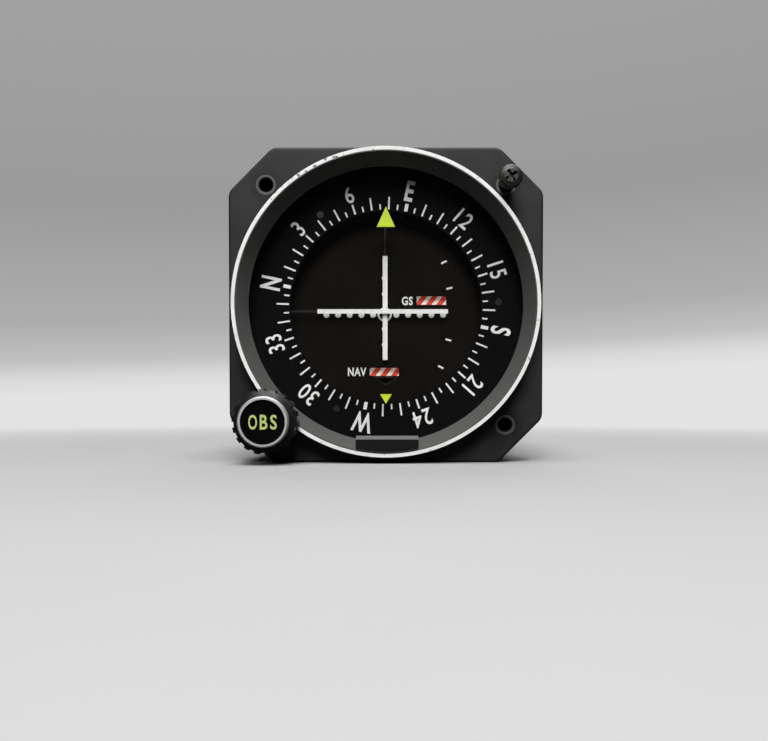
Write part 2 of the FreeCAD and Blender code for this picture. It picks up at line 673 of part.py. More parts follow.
def core_pin(pivot, middle, reach):
    """The pin across a movement, in line with the resting needle."""
    length = 2 * reach
    away = math.atan2(-pivot[1], -pivot[0])
    along = Vector(math.cos(away), 0, math.sin(away))
    start = at(pivot[0], pivot[1], middle) - along * reach
    return Part.makeCylinder(CORE_PIN_R, length, start, along)


def meter_core(pivot):
    """The magnet core, held inside the coil by a pin through the yoke."""
    front = PLATE_REAR + CORE_END_GAP
    core = rod(CORE_R, front, front + CORE_L, pivot)
    return join([core, core_pin(pivot, front + CORE_L / 2, YOKE_IN_R + YOKE_WALL / 2)])


def meter_coil(pivot):
    """The moving coil: a rectangular loop round the core, with its rear pivot."""
    inner = CORE_R + COIL_CLEAR
    outer = inner + COIL_T
    front = PLATE_REAR + COIL_FRONT_GAP
    x, z = pivot
    half_w = COIL_W / 2
    loop = block(x - outer, z - half_w, x + outer, z + half_w, front, COIL_REAR)
    window = block(x - inner, z - half_w, x + inner, z + half_w, front + COIL_T, COIL_REAR - COIL_T)
    pivot_pin = rod(STAFF_R, COIL_REAR, BRIDGE_FRONT + BRIDGE_T / 2, pivot)
    quarter_turn = 90
    square_to_needle = math.degrees(math.atan2(-z, -x)) + quarter_turn
    return turned(join([loop.cut(window), pivot_pin]), square_to_needle, pivot)


def meter_bridge(pivot):
    """The bar across the rear of the yoke, with the rear jewel hole and the spring stud."""
    front = BRIDGE_FRONT
    rear = front + BRIDGE_T
    x, z = pivot
    bar = block(x - YOKE_R, z - BRIDGE_W / 2, x + YOKE_R, z + BRIDGE_W / 2, front, rear)
    bar = bar.common(rod(YOKE_R, front, rear, pivot))
    spring_end = SPRING_IN_R + SPRING_TURNS * SPRING_PITCH + SPRING_T / 2
    stud = block(x + spring_end, z - STUD_W / 2, x + spring_end + STUD_W, z + STUD_W / 2,
                 front - 2 * SPRING_W, front)
    return join([bar, stud]).cut(rod(STAFF_R + STAFF_CLEAR, front, rear, pivot))


def hairspring(pivot):
    """A flat spiral of half turns, its outer end on the bridge's stud."""
    front = BRIDGE_FRONT - 1.5 * SPRING_W
    x, z = pivot
    halves = []
    for step in range(2 * SPRING_TURNS):
        radius = SPRING_IN_R + SPRING_PITCH * (step + 0.5) / 2
        side = 1 if step % 2 == 0 else -1
        centre = (x - side * SPRING_PITCH / 4, z)
        strip = ring(radius + SPRING_T / 2, radius - SPRING_T / 2, front, front + SPRING_W, centre)
        reach = radius + 1
        low, high = (z, z + reach) if side > 0 else (z - reach, z)
        halves.append(strip.common(block(x - reach, low, x + reach, high, front, front + SPRING_W)))
    return join(halves)


def flag(pivot, window):
    """A flag at rest behind its window: vane, arm, hub and staff."""
    back = FLAG_Y
    x0, z0, x1, z1 = window
    near = x1 if pivot[0] > x1 else x0
    middle = (z0 + z1) / 2
    vane = block(x0 - FLAG_OVERLAP, z0 - FLAG_OVERLAP / 2, x1 + FLAG_OVERLAP, z1 + FLAG_OVERLAP,
                 back, back + FLAG_T)
    half_w = FLAG_ARM_W / 2
    arm = prism(((pivot[0], pivot[1] - half_w), (near, middle - FLAG_ARM_W),
                 (near, middle + FLAG_ARM_W), (pivot[0], pivot[1] + half_w)), back, back + FLAG_T)
    hub = rod(HUB_R, back, back + 3 * FLAG_T, pivot)
    staff = rod(FLAG_STAFF_R, back, PLATE_REAR + MOTOR_L / 2, pivot)
    return join([vane, arm, hub, staff])


def to_from_vane():
    """The to-from vane, swung clear of its window as in a set with no signal."""
    arrow = prism(from_arrow(FLAG_OVERLAP / 2), TO_FROM_Y, TO_FROM_Y + FLAG_T)
    x, z = TO_FROM_PIVOT
    half_w = FLAG_ARM_W / 2
    arm = prism(((x, z - half_w), (-ARROW_W / 3, ARROW_TOP - FLAG_ARM_W), (-ARROW_W / 3, ARROW_TOP),
                 (x, z + half_w)), TO_FROM_Y, TO_FROM_Y + FLAG_T)
    hub = rod(HUB_R, TO_FROM_Y, TO_FROM_Y + 3 * FLAG_T, TO_FROM_PIVOT)
    staff = rod(FLAG_STAFF_R, TO_FROM_Y, PLATE_REAR + MOTOR_L / 2, TO_FROM_PIVOT)
    return turned(join([arrow, arm, hub, staff]), TO_FROM_REST, TO_FROM_PIVOT)


def flag_motor(pivot):
    """A small closed meter on the rear of the plate that turns a flag's staff."""
    rear = PLATE_REAR + MOTOR_L
    body = revolve(((0, PLATE_REAR), (MOTOR_R, PLATE_REAR), (MOTOR_R, rear - MOTOR_EDGE),
                    (MOTOR_R - MOTOR_EDGE, rear), (0, rear)), pivot)
    bore_end = PLATE_REAR + MOTOR_L / 2 + FLAG_STAFF_R
    return body.cut(rod(FLAG_STAFF_R + STAFF_CLEAR, PLATE_REAR, bore_end, pivot))


def obs_bushing():
    """The bearing bush of the selector shaft, pressed into the flange."""
    bore_r = SHAFT_R + SHAFT_CLEAR
    neck_r = BUSHING_R - BUSHING_STEP
    return revolve(((bore_r, -BUSHING_PROUD), (neck_r, -BUSHING_PROUD), (neck_r, 0), (BUSHING_R, 0),
                    (BUSHING_R, FLANGE_T), (bore_r, FLANGE_T)), (SHAFT_X, SHAFT_Z))


def obs_shaft():
    """The selector shaft, from inside the knob to the bracket's rear."""
    end = BRACKET_REAR + 2 * (PINION_FACE_EXTRA + SHAFT_RING_T / 2)
    return rod(SHAFT_R, KNOB_CAP_REAR + SHAFT_CAP_GAP, end, (SHAFT_X, SHAFT_Z))


def obs_knob_grip():
    """The black grip: square teeth, sloping front, ring seat, hollow back and hub."""
    edge = KNOB_RING_EDGE
    shell_in = KNOB_GRIP_R - KNOB_TOOTH_DEPTH - KNOB_SHELL_W
    hollow_front = KNOB_REAR - KNOB_HOLLOW
    place = (SHAFT_X, SHAFT_Z)
    body = revolve(((0, KNOB_CAP_REAR), (KNOB_CAP_R, KNOB_CAP_REAR), (KNOB_CAP_R, KNOB_RING_REAR),
                    (KNOB_RING_R, KNOB_RING_REAR), (KNOB_GRIP_R - edge, KNOB_GRIP_FRONT),
                    (KNOB_GRIP_R, KNOB_GRIP_FRONT + edge), (KNOB_GRIP_R, KNOB_REAR),
                    (shell_in, KNOB_REAR), (shell_in, hollow_front), (KNOB_HUB_R, hollow_front),
                    (KNOB_HUB_R, KNOB_HUB_REAR), (0, KNOB_HUB_REAR)), place)
    gap_w = math.pi * KNOB_GRIP_R / KNOB_TEETH
    notch = block(SHAFT_X + KNOB_GRIP_R - KNOB_TOOTH_DEPTH, SHAFT_Z - gap_w / 2,
                  SHAFT_X + 2 * KNOB_GRIP_R, SHAFT_Z + gap_w / 2, KNOB_RING_REAR, KNOB_REAR)
    tools = [turned(notch, KNOB_ANGLE + 360 * i / KNOB_TEETH, place) for i in range(KNOB_TEETH)]
    tools.append(rod(SHAFT_R, KNOB_CAP_REAR + SHAFT_CAP_GAP, KNOB_HUB_REAR, place))
    tools.append(set_screw_rod(KNOB_GRIP_R))
    return drill(body, tools)


def set_screw_rod(reach):
    """A rod from the knob's axis outwards, on the side away from the dial."""
    along = Vector(math.cos(math.radians(KNOB_ANGLE)), 0, math.sin(math.radians(KNOB_ANGLE)))
    start = at(SHAFT_X, SHAFT_Z, KNOB_GRIP_FRONT + SET_SCREW_INSET)
    return Part.makeCylinder(SET_SCREW_R, reach, start, along)


def obs_set_screw():
    """The grub screw that holds the knob on its shaft."""
    shaft = rod(SHAFT_R, KNOB_FRONT, KNOB_REAR, (SHAFT_X, SHAFT_Z))
    return set_screw_rod(KNOB_GRIP_R - SET_SCREW_SUNK).cut(shaft)


def obs_knob_ring():
    """The bright metal ring round the knob's face."""
    edge = KNOB_RING_EDGE
    return revolve(((KNOB_CAP_R, KNOB_FRONT), (KNOB_RING_R - edge, KNOB_FRONT),
                    (KNOB_RING_R, KNOB_FRONT + edge), (KNOB_RING_R, KNOB_RING_REAR),
                    (KNOB_CAP_R, KNOB_RING_REAR)), (SHAFT_X, SHAFT_Z))


def obs_knob_cap():
    """The flat disc set back inside the ring."""
    return rod(KNOB_CAP_R, KNOB_CAP_FRONT, KNOB_CAP_REAR, (SHAFT_X, SHAFT_Z))


def selector_pinion(module, teeth, y0, y1, hub_r, hub_y, backlash):
    """A pinion on the selector shaft, with a hub on one side."""
    place = (SHAFT_X, SHAFT_Z)
    gap_to_gear = KNOB_ANGLE + 180 + 180 / teeth
    gear = involute_gear(module, teeth, y0, y1, place, gap_to_gear, 3, backlash)
    hub = rod(hub_r, min(y0, hub_y), max(y1, hub_y), place)
    return join([gear, hub]).cut(rod(SHAFT_R, min(y0, hub_y), max(y1, hub_y), place))


def front_pinion():
    """The pinion that turns the card."""
    front = GEAR_FRONT - PINION_FACE_EXTRA / 2
    return selector_pinion(CARD_MODULE, CARD_PINION_TEETH, front, GEAR_REAR + PINION_FACE_EXTRA / 2,
                           FRONT_PINION_HUB_R, FLANGE_T + PINION_FACE_EXTRA, GEAR_BACKLASH)


def rear_pinion():
    """The pinion that turns the resolver."""
    return selector_pinion(RESOLVER_MODULE, RESOLVER_PINION_TEETH,
                           RESOLVER_GEAR_FRONT - PINION_FACE_EXTRA / 2,
                           RESOLVER_GEAR_REAR + PINION_FACE_EXTRA / 2, REAR_PINION_HUB_R,
                           RESOLVER_GEAR_FRONT - REAR_PINION_HUB_L, RESOLVER_BACKLASH)


def shaft_rings():
    """The two spring rings that keep the shaft from sliding."""
    front = PLATE_REAR + PINION_FACE_EXTRA
    rear = BRACKET_REAR + PINION_FACE_EXTRA
    return Part.makeCompound([ring(SHAFT_R + SHAFT_RING_W, SHAFT_R, y, y + SHAFT_RING_T,
                                   (SHAFT_X, SHAFT_Z)) for y in (front, rear)])


def resolver_gear():
    """The lightened gear on the resolver's shaft."""
    place = (RESOLVER_X, RESOLVER_Z)
    front = RESOLVER_GEAR_FRONT
    hub_front = front - RESOLVER_HUB_L
    gear = involute_gear(RESOLVER_MODULE, RESOLVER_TEETH, front, RESOLVER_GEAR_REAR, place,
                         KNOB_ANGLE, 2, RESOLVER_BACKLASH)
    hub = rod(RESOLVER_HUB_R, hub_front, RESOLVER_GEAR_REAR, place)
    spots = [polar(RESOLVER_WEB_PITCH_R, 360 * i / RESOLVER_WEB_HOLES, place)
             for i in range(RESOLVER_WEB_HOLES)]
    holes = [rod(RESOLVER_WEB_HOLE_R, front, RESOLVER_GEAR_REAR, spot) for spot in spots]
    bore = rod(RESOLVER_SHAFT_R, hub_front, RESOLVER_GEAR_REAR, place)
    return drill(join([gear, hub]), holes + [bore])


def resolver_shaft():
    """The resolver's shaft, pinned in its gear and running in the resolver."""
    return rod(RESOLVER_SHAFT_R, RESOLVER_GEAR_FRONT - RESOLVER_HUB_L,
               BRACKET_REAR + RESOLVER_SHAFT_IN, (RESOLVER_X, RESOLVER_Z))


def resolver():
    """The resolver's can: pilot, clamp groove, body and rear cap."""
    place = (RESOLVER_X, RESOLVER_Z)
    front = BRACKET_REAR
    rear = front + RESOLVER_L
    groove_front = front + GROOVE_FRONT
    groove_rear = groove_front + GROOVE_W
    groove_r = RESOLVER_R - GROOVE_DEPTH
    cap_r = RESOLVER_R - RESOLVER_CAP_STEP
    cap_front = rear - RESOLVER_CAP_L
    body = revolve(((0, BRACKET_FRONT), (RESOLVER_PILOT_R, BRACKET_FRONT), (RESOLVER_PILOT_R, front),
                    (RESOLVER_R, front), (RESOLVER_R, groove_front), (groove_r, groove_front),
                    (groove_r, groove_rear), (RESOLVER_R, groove_rear), (RESOLVER_R, cap_front),
                    (cap_r, cap_front), (cap_r, rear), (0, rear)), place)
    bore_end = front + RESOLVER_SHAFT_IN + RESOLVER_SHAFT_R / 2
    return body.cut(rod(RESOLVER_SHAFT_R + SHAFT_CLEAR, BRACKET_FRONT, bore_end, place))


def resolver_clamps():
    """Three washers that hook in the resolver's groove, each with its screw."""
    place = (RESOLVER_X, RESOLVER_Z)
    groove_front = BRACKET_REAR + GROOVE_FRONT
    clamps = []
    for angle in CLAMP_ANGLES:
        spot = polar(RESOLVER_R + CLAMP_R - CLAMP_HOOK, angle, place)
        washer = rod(CLAMP_R, groove_front, groove_front + CLAMP_T, spot)
        head = rod(CLAMP_HEAD_R, groove_front + CLAMP_T, groove_front + 2 * CLAMP_T, spot)
        foot = rod(CLAMP_SHANK_R, BRACKET_REAR, groove_front, spot)
        clamps.append(join([washer, head, foot]))
    return Part.makeCompound(clamps)


def resolver_bracket():
    """The plate that carries the resolver and the rear end of the selector shaft."""
    body = fit_in_case(BRACKET_CLEAR, BRACKET_FRONT, BRACKET_REAR)
    tools = [rod(RESOLVER_PILOT_R, BRACKET_FRONT, BRACKET_REAR, (RESOLVER_X, RESOLVER_Z)),
             shaft_hole(BRACKET_FRONT, BRACKET_REAR)]
    tools += [rod(POST_STUD_R, BRACKET_FRONT, BRACKET_REAR, place) for place in POST_PLACES]
    tools += [rod(hole_r, BRACKET_FRONT, BRACKET_REAR, (x, z)) for hole_r, x, z in BRACKET_HOLES]
    return drill(body, tools)


def front_posts():
    """Four posts from the plate to the bracket, with studs into the frame."""
    bore_end = BRACKET_FRONT - POST_BORE_L
    profile = ((0, PLATE_FRONT - POST_STUD_L), (POST_STUD_R, PLATE_FRONT - POST_STUD_L),
               (POST_STUD_R, PLATE_REAR), (POST_R, PLATE_REAR), (POST_R, BRACKET_FRONT),
               (POST_STUD_R, BRACKET_FRONT), (POST_STUD_R, bore_end), (0, bore_end))
    return Part.makeCompound([revolve(profile, place) for place in POST_PLACES])


def rear_posts():
    """Four posts from the bracket to the rear plate, with studs through the bracket."""
    stud_front = BRACKET_FRONT - POST_BORE_L + POST_STUD_END_GAP
    bore_end = CASE_REAR - REAR_SCREW_IN - POST_STUD_END_GAP
    profile = ((0, stud_front), (POST_STUD_R, stud_front), (POST_STUD_R, BRACKET_REAR),
               (POST_R, BRACKET_REAR), (POST_R, CASE_REAR), (REAR_SCREW_R, CASE_REAR),
               (REAR_SCREW_R, bore_end), (0, bore_end))
    return Part.makeCompound([revolve(profile, place) for place in POST_PLACES])


def circuit_board(front):
    """A board across the case, held on the rear posts."""
    body = fit_in_case(BOARD_CLEAR, front, front + BOARD_T)
    return drill(body, [rod(POST_R, front, front + BOARD_T, place) for place in POST_PLACES])


def board_components(front):
    """The larger components that stand on the rear face of a board."""
    top = front + BOARD_T
    chips = [box_on_board(CHIP_SIZE, x, z, top) for x in CHIP_COLUMNS for z in CHIP_ROWS]
    cans = [rod(CAN_R, top, top + CAN_H, (x, CAN_ROW)) for x in CAN_COLUMNS]
    trimmers = [box_on_board(TRIMMER_SIZE, x, TRIMMER_ROW, top) for x in TRIMMER_COLUMNS]
    return Part.makeCompound(chips + cans + trimmers)


def box_on_board(size, x, z, top):
    """A boxy component of a given width, height and thickness."""
    width, height, thickness = size
    return block(x, z, x + width, z + height, top, top + thickness)


def dust_cover():
    """The thin drawn can round the works, open at both ends."""
    outer = case_prism(CASE_HALF, CASE_CORNER, CASE_CORNER_KNOB, FRAME_SHOULDER, CASE_REAR)
    return outer.cut(fit_in_case(0, FRAME_SHOULDER, CASE_REAR))


def rear_plate():
    """The end plate, with a bevelled edge, the connector's opening and screw holes."""
    body = case_prism(CASE_HALF, CASE_CORNER, CASE_CORNER_KNOB, CASE_REAR, CASE_END)
    rim = [e for e in body.Edges if e.BoundBox.YMin > CASE_END - 1e-6]
    body = body.makeChamfer(REAR_PLATE_EDGE, rim)
    tools = [rod(REAR_SCREW_R, CASE_REAR, CASE_END, place) for place in POST_PLACES]
    tools.append(connector_outline(CONNECTOR_WALL, CASE_REAR, CASE_END))
    return drill(body, tools)


def rear_screws():
    """Four screws through the rear plate into the posts."""
    tip = CASE_REAR - REAR_SCREW_IN
    rear = CASE_END + REAR_SCREW_HEAD_T
    slot_front = rear - REAR_SCREW_HEAD_T / 2
    profile = ((0, tip), (REAR_SCREW_R, tip), (REAR_SCREW_R, CASE_END),
               (REAR_SCREW_HEAD_R, CASE_END), (REAR_SCREW_HEAD_R, slot_front),
               (REAR_SCREW_HEAD_R - REAR_SCREW_SLOT, rear), (0, rear))
    slot = block(-REAR_SCREW_HEAD_R, -REAR_SCREW_SLOT / 2, REAR_SCREW_HEAD_R, REAR_SCREW_SLOT / 2,
                 slot_front, rear)
    screws = []
    for x, z in POST_PLACES:
        cutter = slot.translated(Vector(x, 0, z))
        screws.append(revolve(profile, (x, z)).cut(cutter))
    return Part.makeCompound(screws)


def connector_outline(inset, y0, y1):
    """The connector's D shape, drawn in by an inset: its lower side is the shorter one."""
    width = CONNECTOR_W - 2 * inset
    height = CONNECTOR_H - 2 * inset
    lean = height * math.tan(math.radians(CONNECTOR_LEAN))
    low = CONNECTOR_Z - height / 2
    high = CONNECTOR_Z + height / 2
    body = prism(((-width / 2 + lean, low), (width / 2 - lean, low), (width / 2, high),
                  (-width / 2, high)), y0, y1)
    corners = [e for e in body.Edges if abs(e.tangentAt(e.FirstParameter).y) > 0.99]
    return body.makeFillet(CONNECTOR_CORNER_R - inset / 2, corners)


def rear_connector():
    """The connector's metal shell on its flange, with the two jack posts."""
    front = CASE_END
    half_w = CONNECTOR_FLANGE_W / 2
    half_h = CONNECTOR_FLANGE_H / 2
    plate = block(-half_w, CONNECTOR_Z - half_h, half_w, CONNECTOR_Z + half_h, front,
                  front + CONNECTOR_FLANGE_T)
    shell = connector_outline(0, front, front + CONNECTOR_L)
    hollow = connector_outline(CONNECTOR_WALL, front, front + CONNECTOR_L)
    jacks = [(side * JACK_SPACING / 2, CONNECTOR_Z) for side in (-1, 1)]
    body = join([plate, shell] + [rod(JACK_R, front, front + JACK_L, place) for place in jacks])
    return drill(body, [hollow] + [rod(JACK_BORE_R, front, front + JACK_L, p) for p in jacks])


def connector_insert():
    """The insulator that fills the connector's shell and carries the pins."""
    rear = CASE_END + CONNECTOR_INSERT_L
    body = connector_outline(CONNECTOR_WALL, CASE_REAR, rear)
    return drill(body, [rod(PIN_R, CASE_REAR, rear, place) for place in pin_places()])


def pin_places():
    """The places of the connector's pins, in two staggered rows."""
    places = []
    for row, count in enumerate(PIN_ROWS):
        z = CONNECTOR_Z + (0.5 - row) * PIN_ROW_PITCH
        places += [((i - (count - 1) / 2) * PIN_PITCH, z) for i in range(count)]
    return places


def connector_pins():
    """The connector's pins."""
    rear = CASE_END + PIN_L
    return Part.makeCompound([rod(PIN_R, CASE_REAR, rear, place) for place in pin_places()])


def mounting_screw():
    """The cross-headed screw that stands part way out of the upper right insert."""
    place = (HOLE, HOLE)
    under = -SCREW_PROUD
    front = under - SCREW_HEAD_T
    end = INSERT_BORE_END - SCREW_END_GAP
    body = revolve(((0, front), (SCREW_TOP_R, front), (SCREW_CROWN_R, front + SCREW_CROWN_T),
                    (SCREW_HEAD_R, under - SCREW_RIM_T), (SCREW_HEAD_R, under),
                    (SCREW_SHANK_R, under), (SCREW_SHANK_R, end - SCREW_END_EDGE),
                    (SCREW_SHANK_R - SCREW_END_EDGE, end), (0, end)), place)
    bar = block(HOLE - CROSS_L / 2, HOLE - CROSS_W / 2, HOLE + CROSS_L / 2, HOLE + CROSS_W / 2,
                front, front + CROSS_DEPTH)
    return drill(body, [turned(bar, angle, place) for angle in (CROSS_ANGLE, CROSS_ANGLE + 90)])


def needle_pair():
    """Both needles at rest, with the movement behind each."""
    made = {}
    nav_start, nav_end = [NAV_PIVOT[1] - z for z in NAV_BAR_Z]
    gs_start, gs_end = [x - GS_PIVOT[0] for x in GS_BAR_X]
    made["nav_needle"] = needle(NAV_PIVOT, -90, NAV_FRONT, nav_start, nav_end, NAV_BAR_W)
    made["gs_needle"] = needle(GS_PIVOT, 0, GS_FRONT, gs_start, gs_end, GS_BAR_W)
    for name, pivot in (("nav", NAV_PIVOT), ("gs", GS_PIVOT)):
        made[name + "_meter_yoke"] = meter_yoke(pivot)
        made[name + "_meter_core"] = meter_core(pivot)
        made[name + "_meter_coil"] = meter_coil(pivot)
        made[name + "_meter_bridge"] = meter_bridge(pivot)
        made[name + "_hairspring"] = hairspring(pivot)
    return made


def flag_set():
    """The flags and the to-from vane, each with its motor."""
    return {
        "nav_flag": flag(NAV_FLAG_PIVOT, NAV_WINDOW),
        "nav_flag_motor": flag_motor(NAV_FLAG_PIVOT),
        "gs_flag": flag(GS_FLAG_PIVOT, GS_WINDOW),
        "gs_flag_motor": flag_motor(GS_FLAG_PIVOT),
        "to_from_vane": to_from_vane(),
        "to_from_motor": flag_motor(TO_FROM_PIVOT),
    }


def all_parts():
    """Every piece of the indicator by its name."""
    parts = {piece.__name__: piece() for piece in (
        mounting_flange, mounting_inserts, bezel_ring, cover_glass, course_pointers, glass_gasket,
        glass_retainer, compass_card, card_gear, card_rivets, front_frame, frame_screws, meter_plate,
        dial_mask, mask_posts, obs_bushing, obs_shaft, obs_knob_grip, obs_set_screw, obs_knob_ring,
        obs_knob_cap, front_pinion, rear_pinion, shaft_rings, resolver_gear, resolver_shaft, resolver,
        resolver_clamps, resolver_bracket, front_posts, rear_posts, dust_cover, rear_plate,
        rear_screws, rear_connector, connector_insert, connector_pins, mounting_screw)}
    parts.update(needle_pair())
    parts.update(flag_set())
    for name, front in (("meter_board", METER_BOARD_FRONT),
                        ("connector_board", CONNECTOR_BOARD_FRONT)):
        parts[name] = circuit_board(front)
        parts[name + "_components"] = board_components(front)
    return parts


os.makedirs("parts", exist_ok=True)
for node, shape in all_parts().items():
    shape.exportStep("parts/" + node + ".step")
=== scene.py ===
import math

import bpy
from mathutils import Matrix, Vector


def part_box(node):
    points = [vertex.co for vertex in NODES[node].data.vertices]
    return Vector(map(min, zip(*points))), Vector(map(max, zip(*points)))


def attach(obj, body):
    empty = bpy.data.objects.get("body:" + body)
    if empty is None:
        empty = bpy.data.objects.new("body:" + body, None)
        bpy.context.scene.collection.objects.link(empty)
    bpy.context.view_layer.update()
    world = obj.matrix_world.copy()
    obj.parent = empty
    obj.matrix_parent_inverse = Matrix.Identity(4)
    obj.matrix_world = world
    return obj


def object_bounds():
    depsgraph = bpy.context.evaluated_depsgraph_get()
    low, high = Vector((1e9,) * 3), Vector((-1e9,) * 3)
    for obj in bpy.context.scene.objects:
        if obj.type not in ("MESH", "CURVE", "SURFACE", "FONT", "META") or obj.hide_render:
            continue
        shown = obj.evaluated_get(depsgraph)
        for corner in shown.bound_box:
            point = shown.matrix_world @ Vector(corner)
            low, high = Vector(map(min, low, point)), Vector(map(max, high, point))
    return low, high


# Looks of the course deviation indicator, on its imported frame. Lengths are in metres.
# X runs to the viewer's right, Y into the panel and Z up, from the dial's centre on the flange's face.
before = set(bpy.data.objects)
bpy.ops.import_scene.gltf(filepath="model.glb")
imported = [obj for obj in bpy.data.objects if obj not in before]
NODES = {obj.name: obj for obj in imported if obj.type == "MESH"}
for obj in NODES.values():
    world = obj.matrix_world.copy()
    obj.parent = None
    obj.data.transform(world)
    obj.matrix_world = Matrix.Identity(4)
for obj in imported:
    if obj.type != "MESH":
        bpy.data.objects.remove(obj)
CAD_BOX = [list(corner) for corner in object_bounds()]
MM = 0.001

# Camera: how it stood before the dial, and the photograph's frame
CAMERA_GAP = 222 * MM
CAMERA_X = -0.5 * MM
CAMERA_Z = -26.4 * MM
CAMERA_PITCH = math.radians(-1.55)
SENSOR_W = 36.0
PHOTO_W = 768
FOCAL_PX = 842
SHIFT_PX = 58.2

# Compass scale on the card
CARD_TOP_COURSE = 78.3
TICK_IN_R = 25.9 * MM
TICKS = {"cardinal": (27.9 * MM, 0.90 * MM), "labelled": (28.5 * MM, 0.47 * MM),
         "ten": (29.2 * MM, 0.44 * MM), "five": (27.3 * MM, 0.39 * MM)}
NUMERAL_IN_R = 29.0 * MM
NUMERAL_H = 4.45 * MM
LETTER_IN_R = 28.6 * MM
LETTER_H = 5.45 * MM

# Marks of the centre disc
DOT_CENTRE = (-0.3 * MM, -1.5 * MM)
DOT_R = 0.79 * MM
DOTS_ACROSS = [side * step * 3.18 * MM for side in (-1, 1) for step in range(1, 6)]
DOTS_UP_DOWN = [side * rise * MM for side in (-1, 1) for rise in (4.75, 9.04)]
RING_OUT_R = 1.93 * MM
RING_IN_R = 1.43 * MM
DASHES = ((15.8, 12.7, 25), (17.3, 5.65, 14), (17.1, -8.4, -14), (15.0, -15.8, -27))
DASH_L = 1.6 * MM
DASH_W = 0.48 * MM
LEGEND_H = 2.35 * MM
NAV_PLACE = (-7.85 * MM, -17.1 * MM)
GS_PLACE = (5.85 * MM, 2.2 * MM)
ARROW_TOP = -18.55 * MM
ARROW_HALF_W = 3.4 * MM
ARROW_DROP = 2.15 * MM
ARROW_LINE = 0.13 * MM

# The knob's letters: each with its place across the cap and its share of the type's width
KNOB_LETTERS = (("O", -2.45 * MM, 0.575), ("B", 0.25 * MM, 0.74), ("S", 2.70 * MM, 0.79))
KNOB_LETTER_H = 3.65 * MM

# How thick all printed marks stand
PAINT = 0.03 * MM

# Studio: the tone at which the floor meets the backdrop, the backdrop's tones by height, the lamps
FAR_TONE = 0.77
BACKDROP = ((0.0, FAR_TONE), (0.028, FAR_TONE), (0.048, 0.68), (0.066, 0.53), (0.105, 0.42),
            (0.235, 0.325), (0.40, 0.355))
BACKDROP_TILT = -0.045
DIM_LIGHT = (0.022, 0.022, 0.022, 1)
FLOOR_SIZE = 12.0
FLOOR_PAPER = ((0.365, 0.365, 0.37), (0.395, 0.395, 0.40))
FLOOR_GIVES_BACK = (0.03, 0.03, 0.03)
FLOOR_FADE = (0.05, 0.48)
LAMPS = {"overhead": ((0.0, -0.26, 0.75), (0, 0, -0.02), 0.6, 7.0),
         "front": ((-0.03, -0.90, 0.80), (0, 0, 0), 0.5, 14.0),
         "backlight": ((0.1, 0.75, 0.9), (0, 0.1, -0.04), 0.7, 4.0)}

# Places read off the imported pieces
CARD_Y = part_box("compass_card")[0][1]
MASK_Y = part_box("dial_mask")[0][1]
KNOB_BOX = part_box("obs_knob_ring")
CAP_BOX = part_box("obs_knob_cap")
KNOB_X = (KNOB_BOX[0][0] + KNOB_BOX[1][0]) / 2
KNOB_Z = (KNOB_BOX[0][2] + KNOB_BOX[1][2]) / 2
SCREW_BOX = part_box("mounting_screw")
HOLE_REACH = (SCREW_BOX[0][0] + SCREW_BOX[1][0]) / 2
COLLAR_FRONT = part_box("bezel_ring")[0][1]
COLLAR_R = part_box("bezel_ring")[1][0]
LIP_PAINT_W = 0.92 * MM
LIP_IN_R = COLLAR_R - LIP_PAINT_W
NEEDLE_HUB_R = 0.85 * MM

# The bare name bar at the foot of the sloping ring: left, right, top and top of its face
NAME_BAR = (-7.75 * MM, 8.35 * MM, -34.15 * MM, -35.05 * MM)


# Shader building blocks

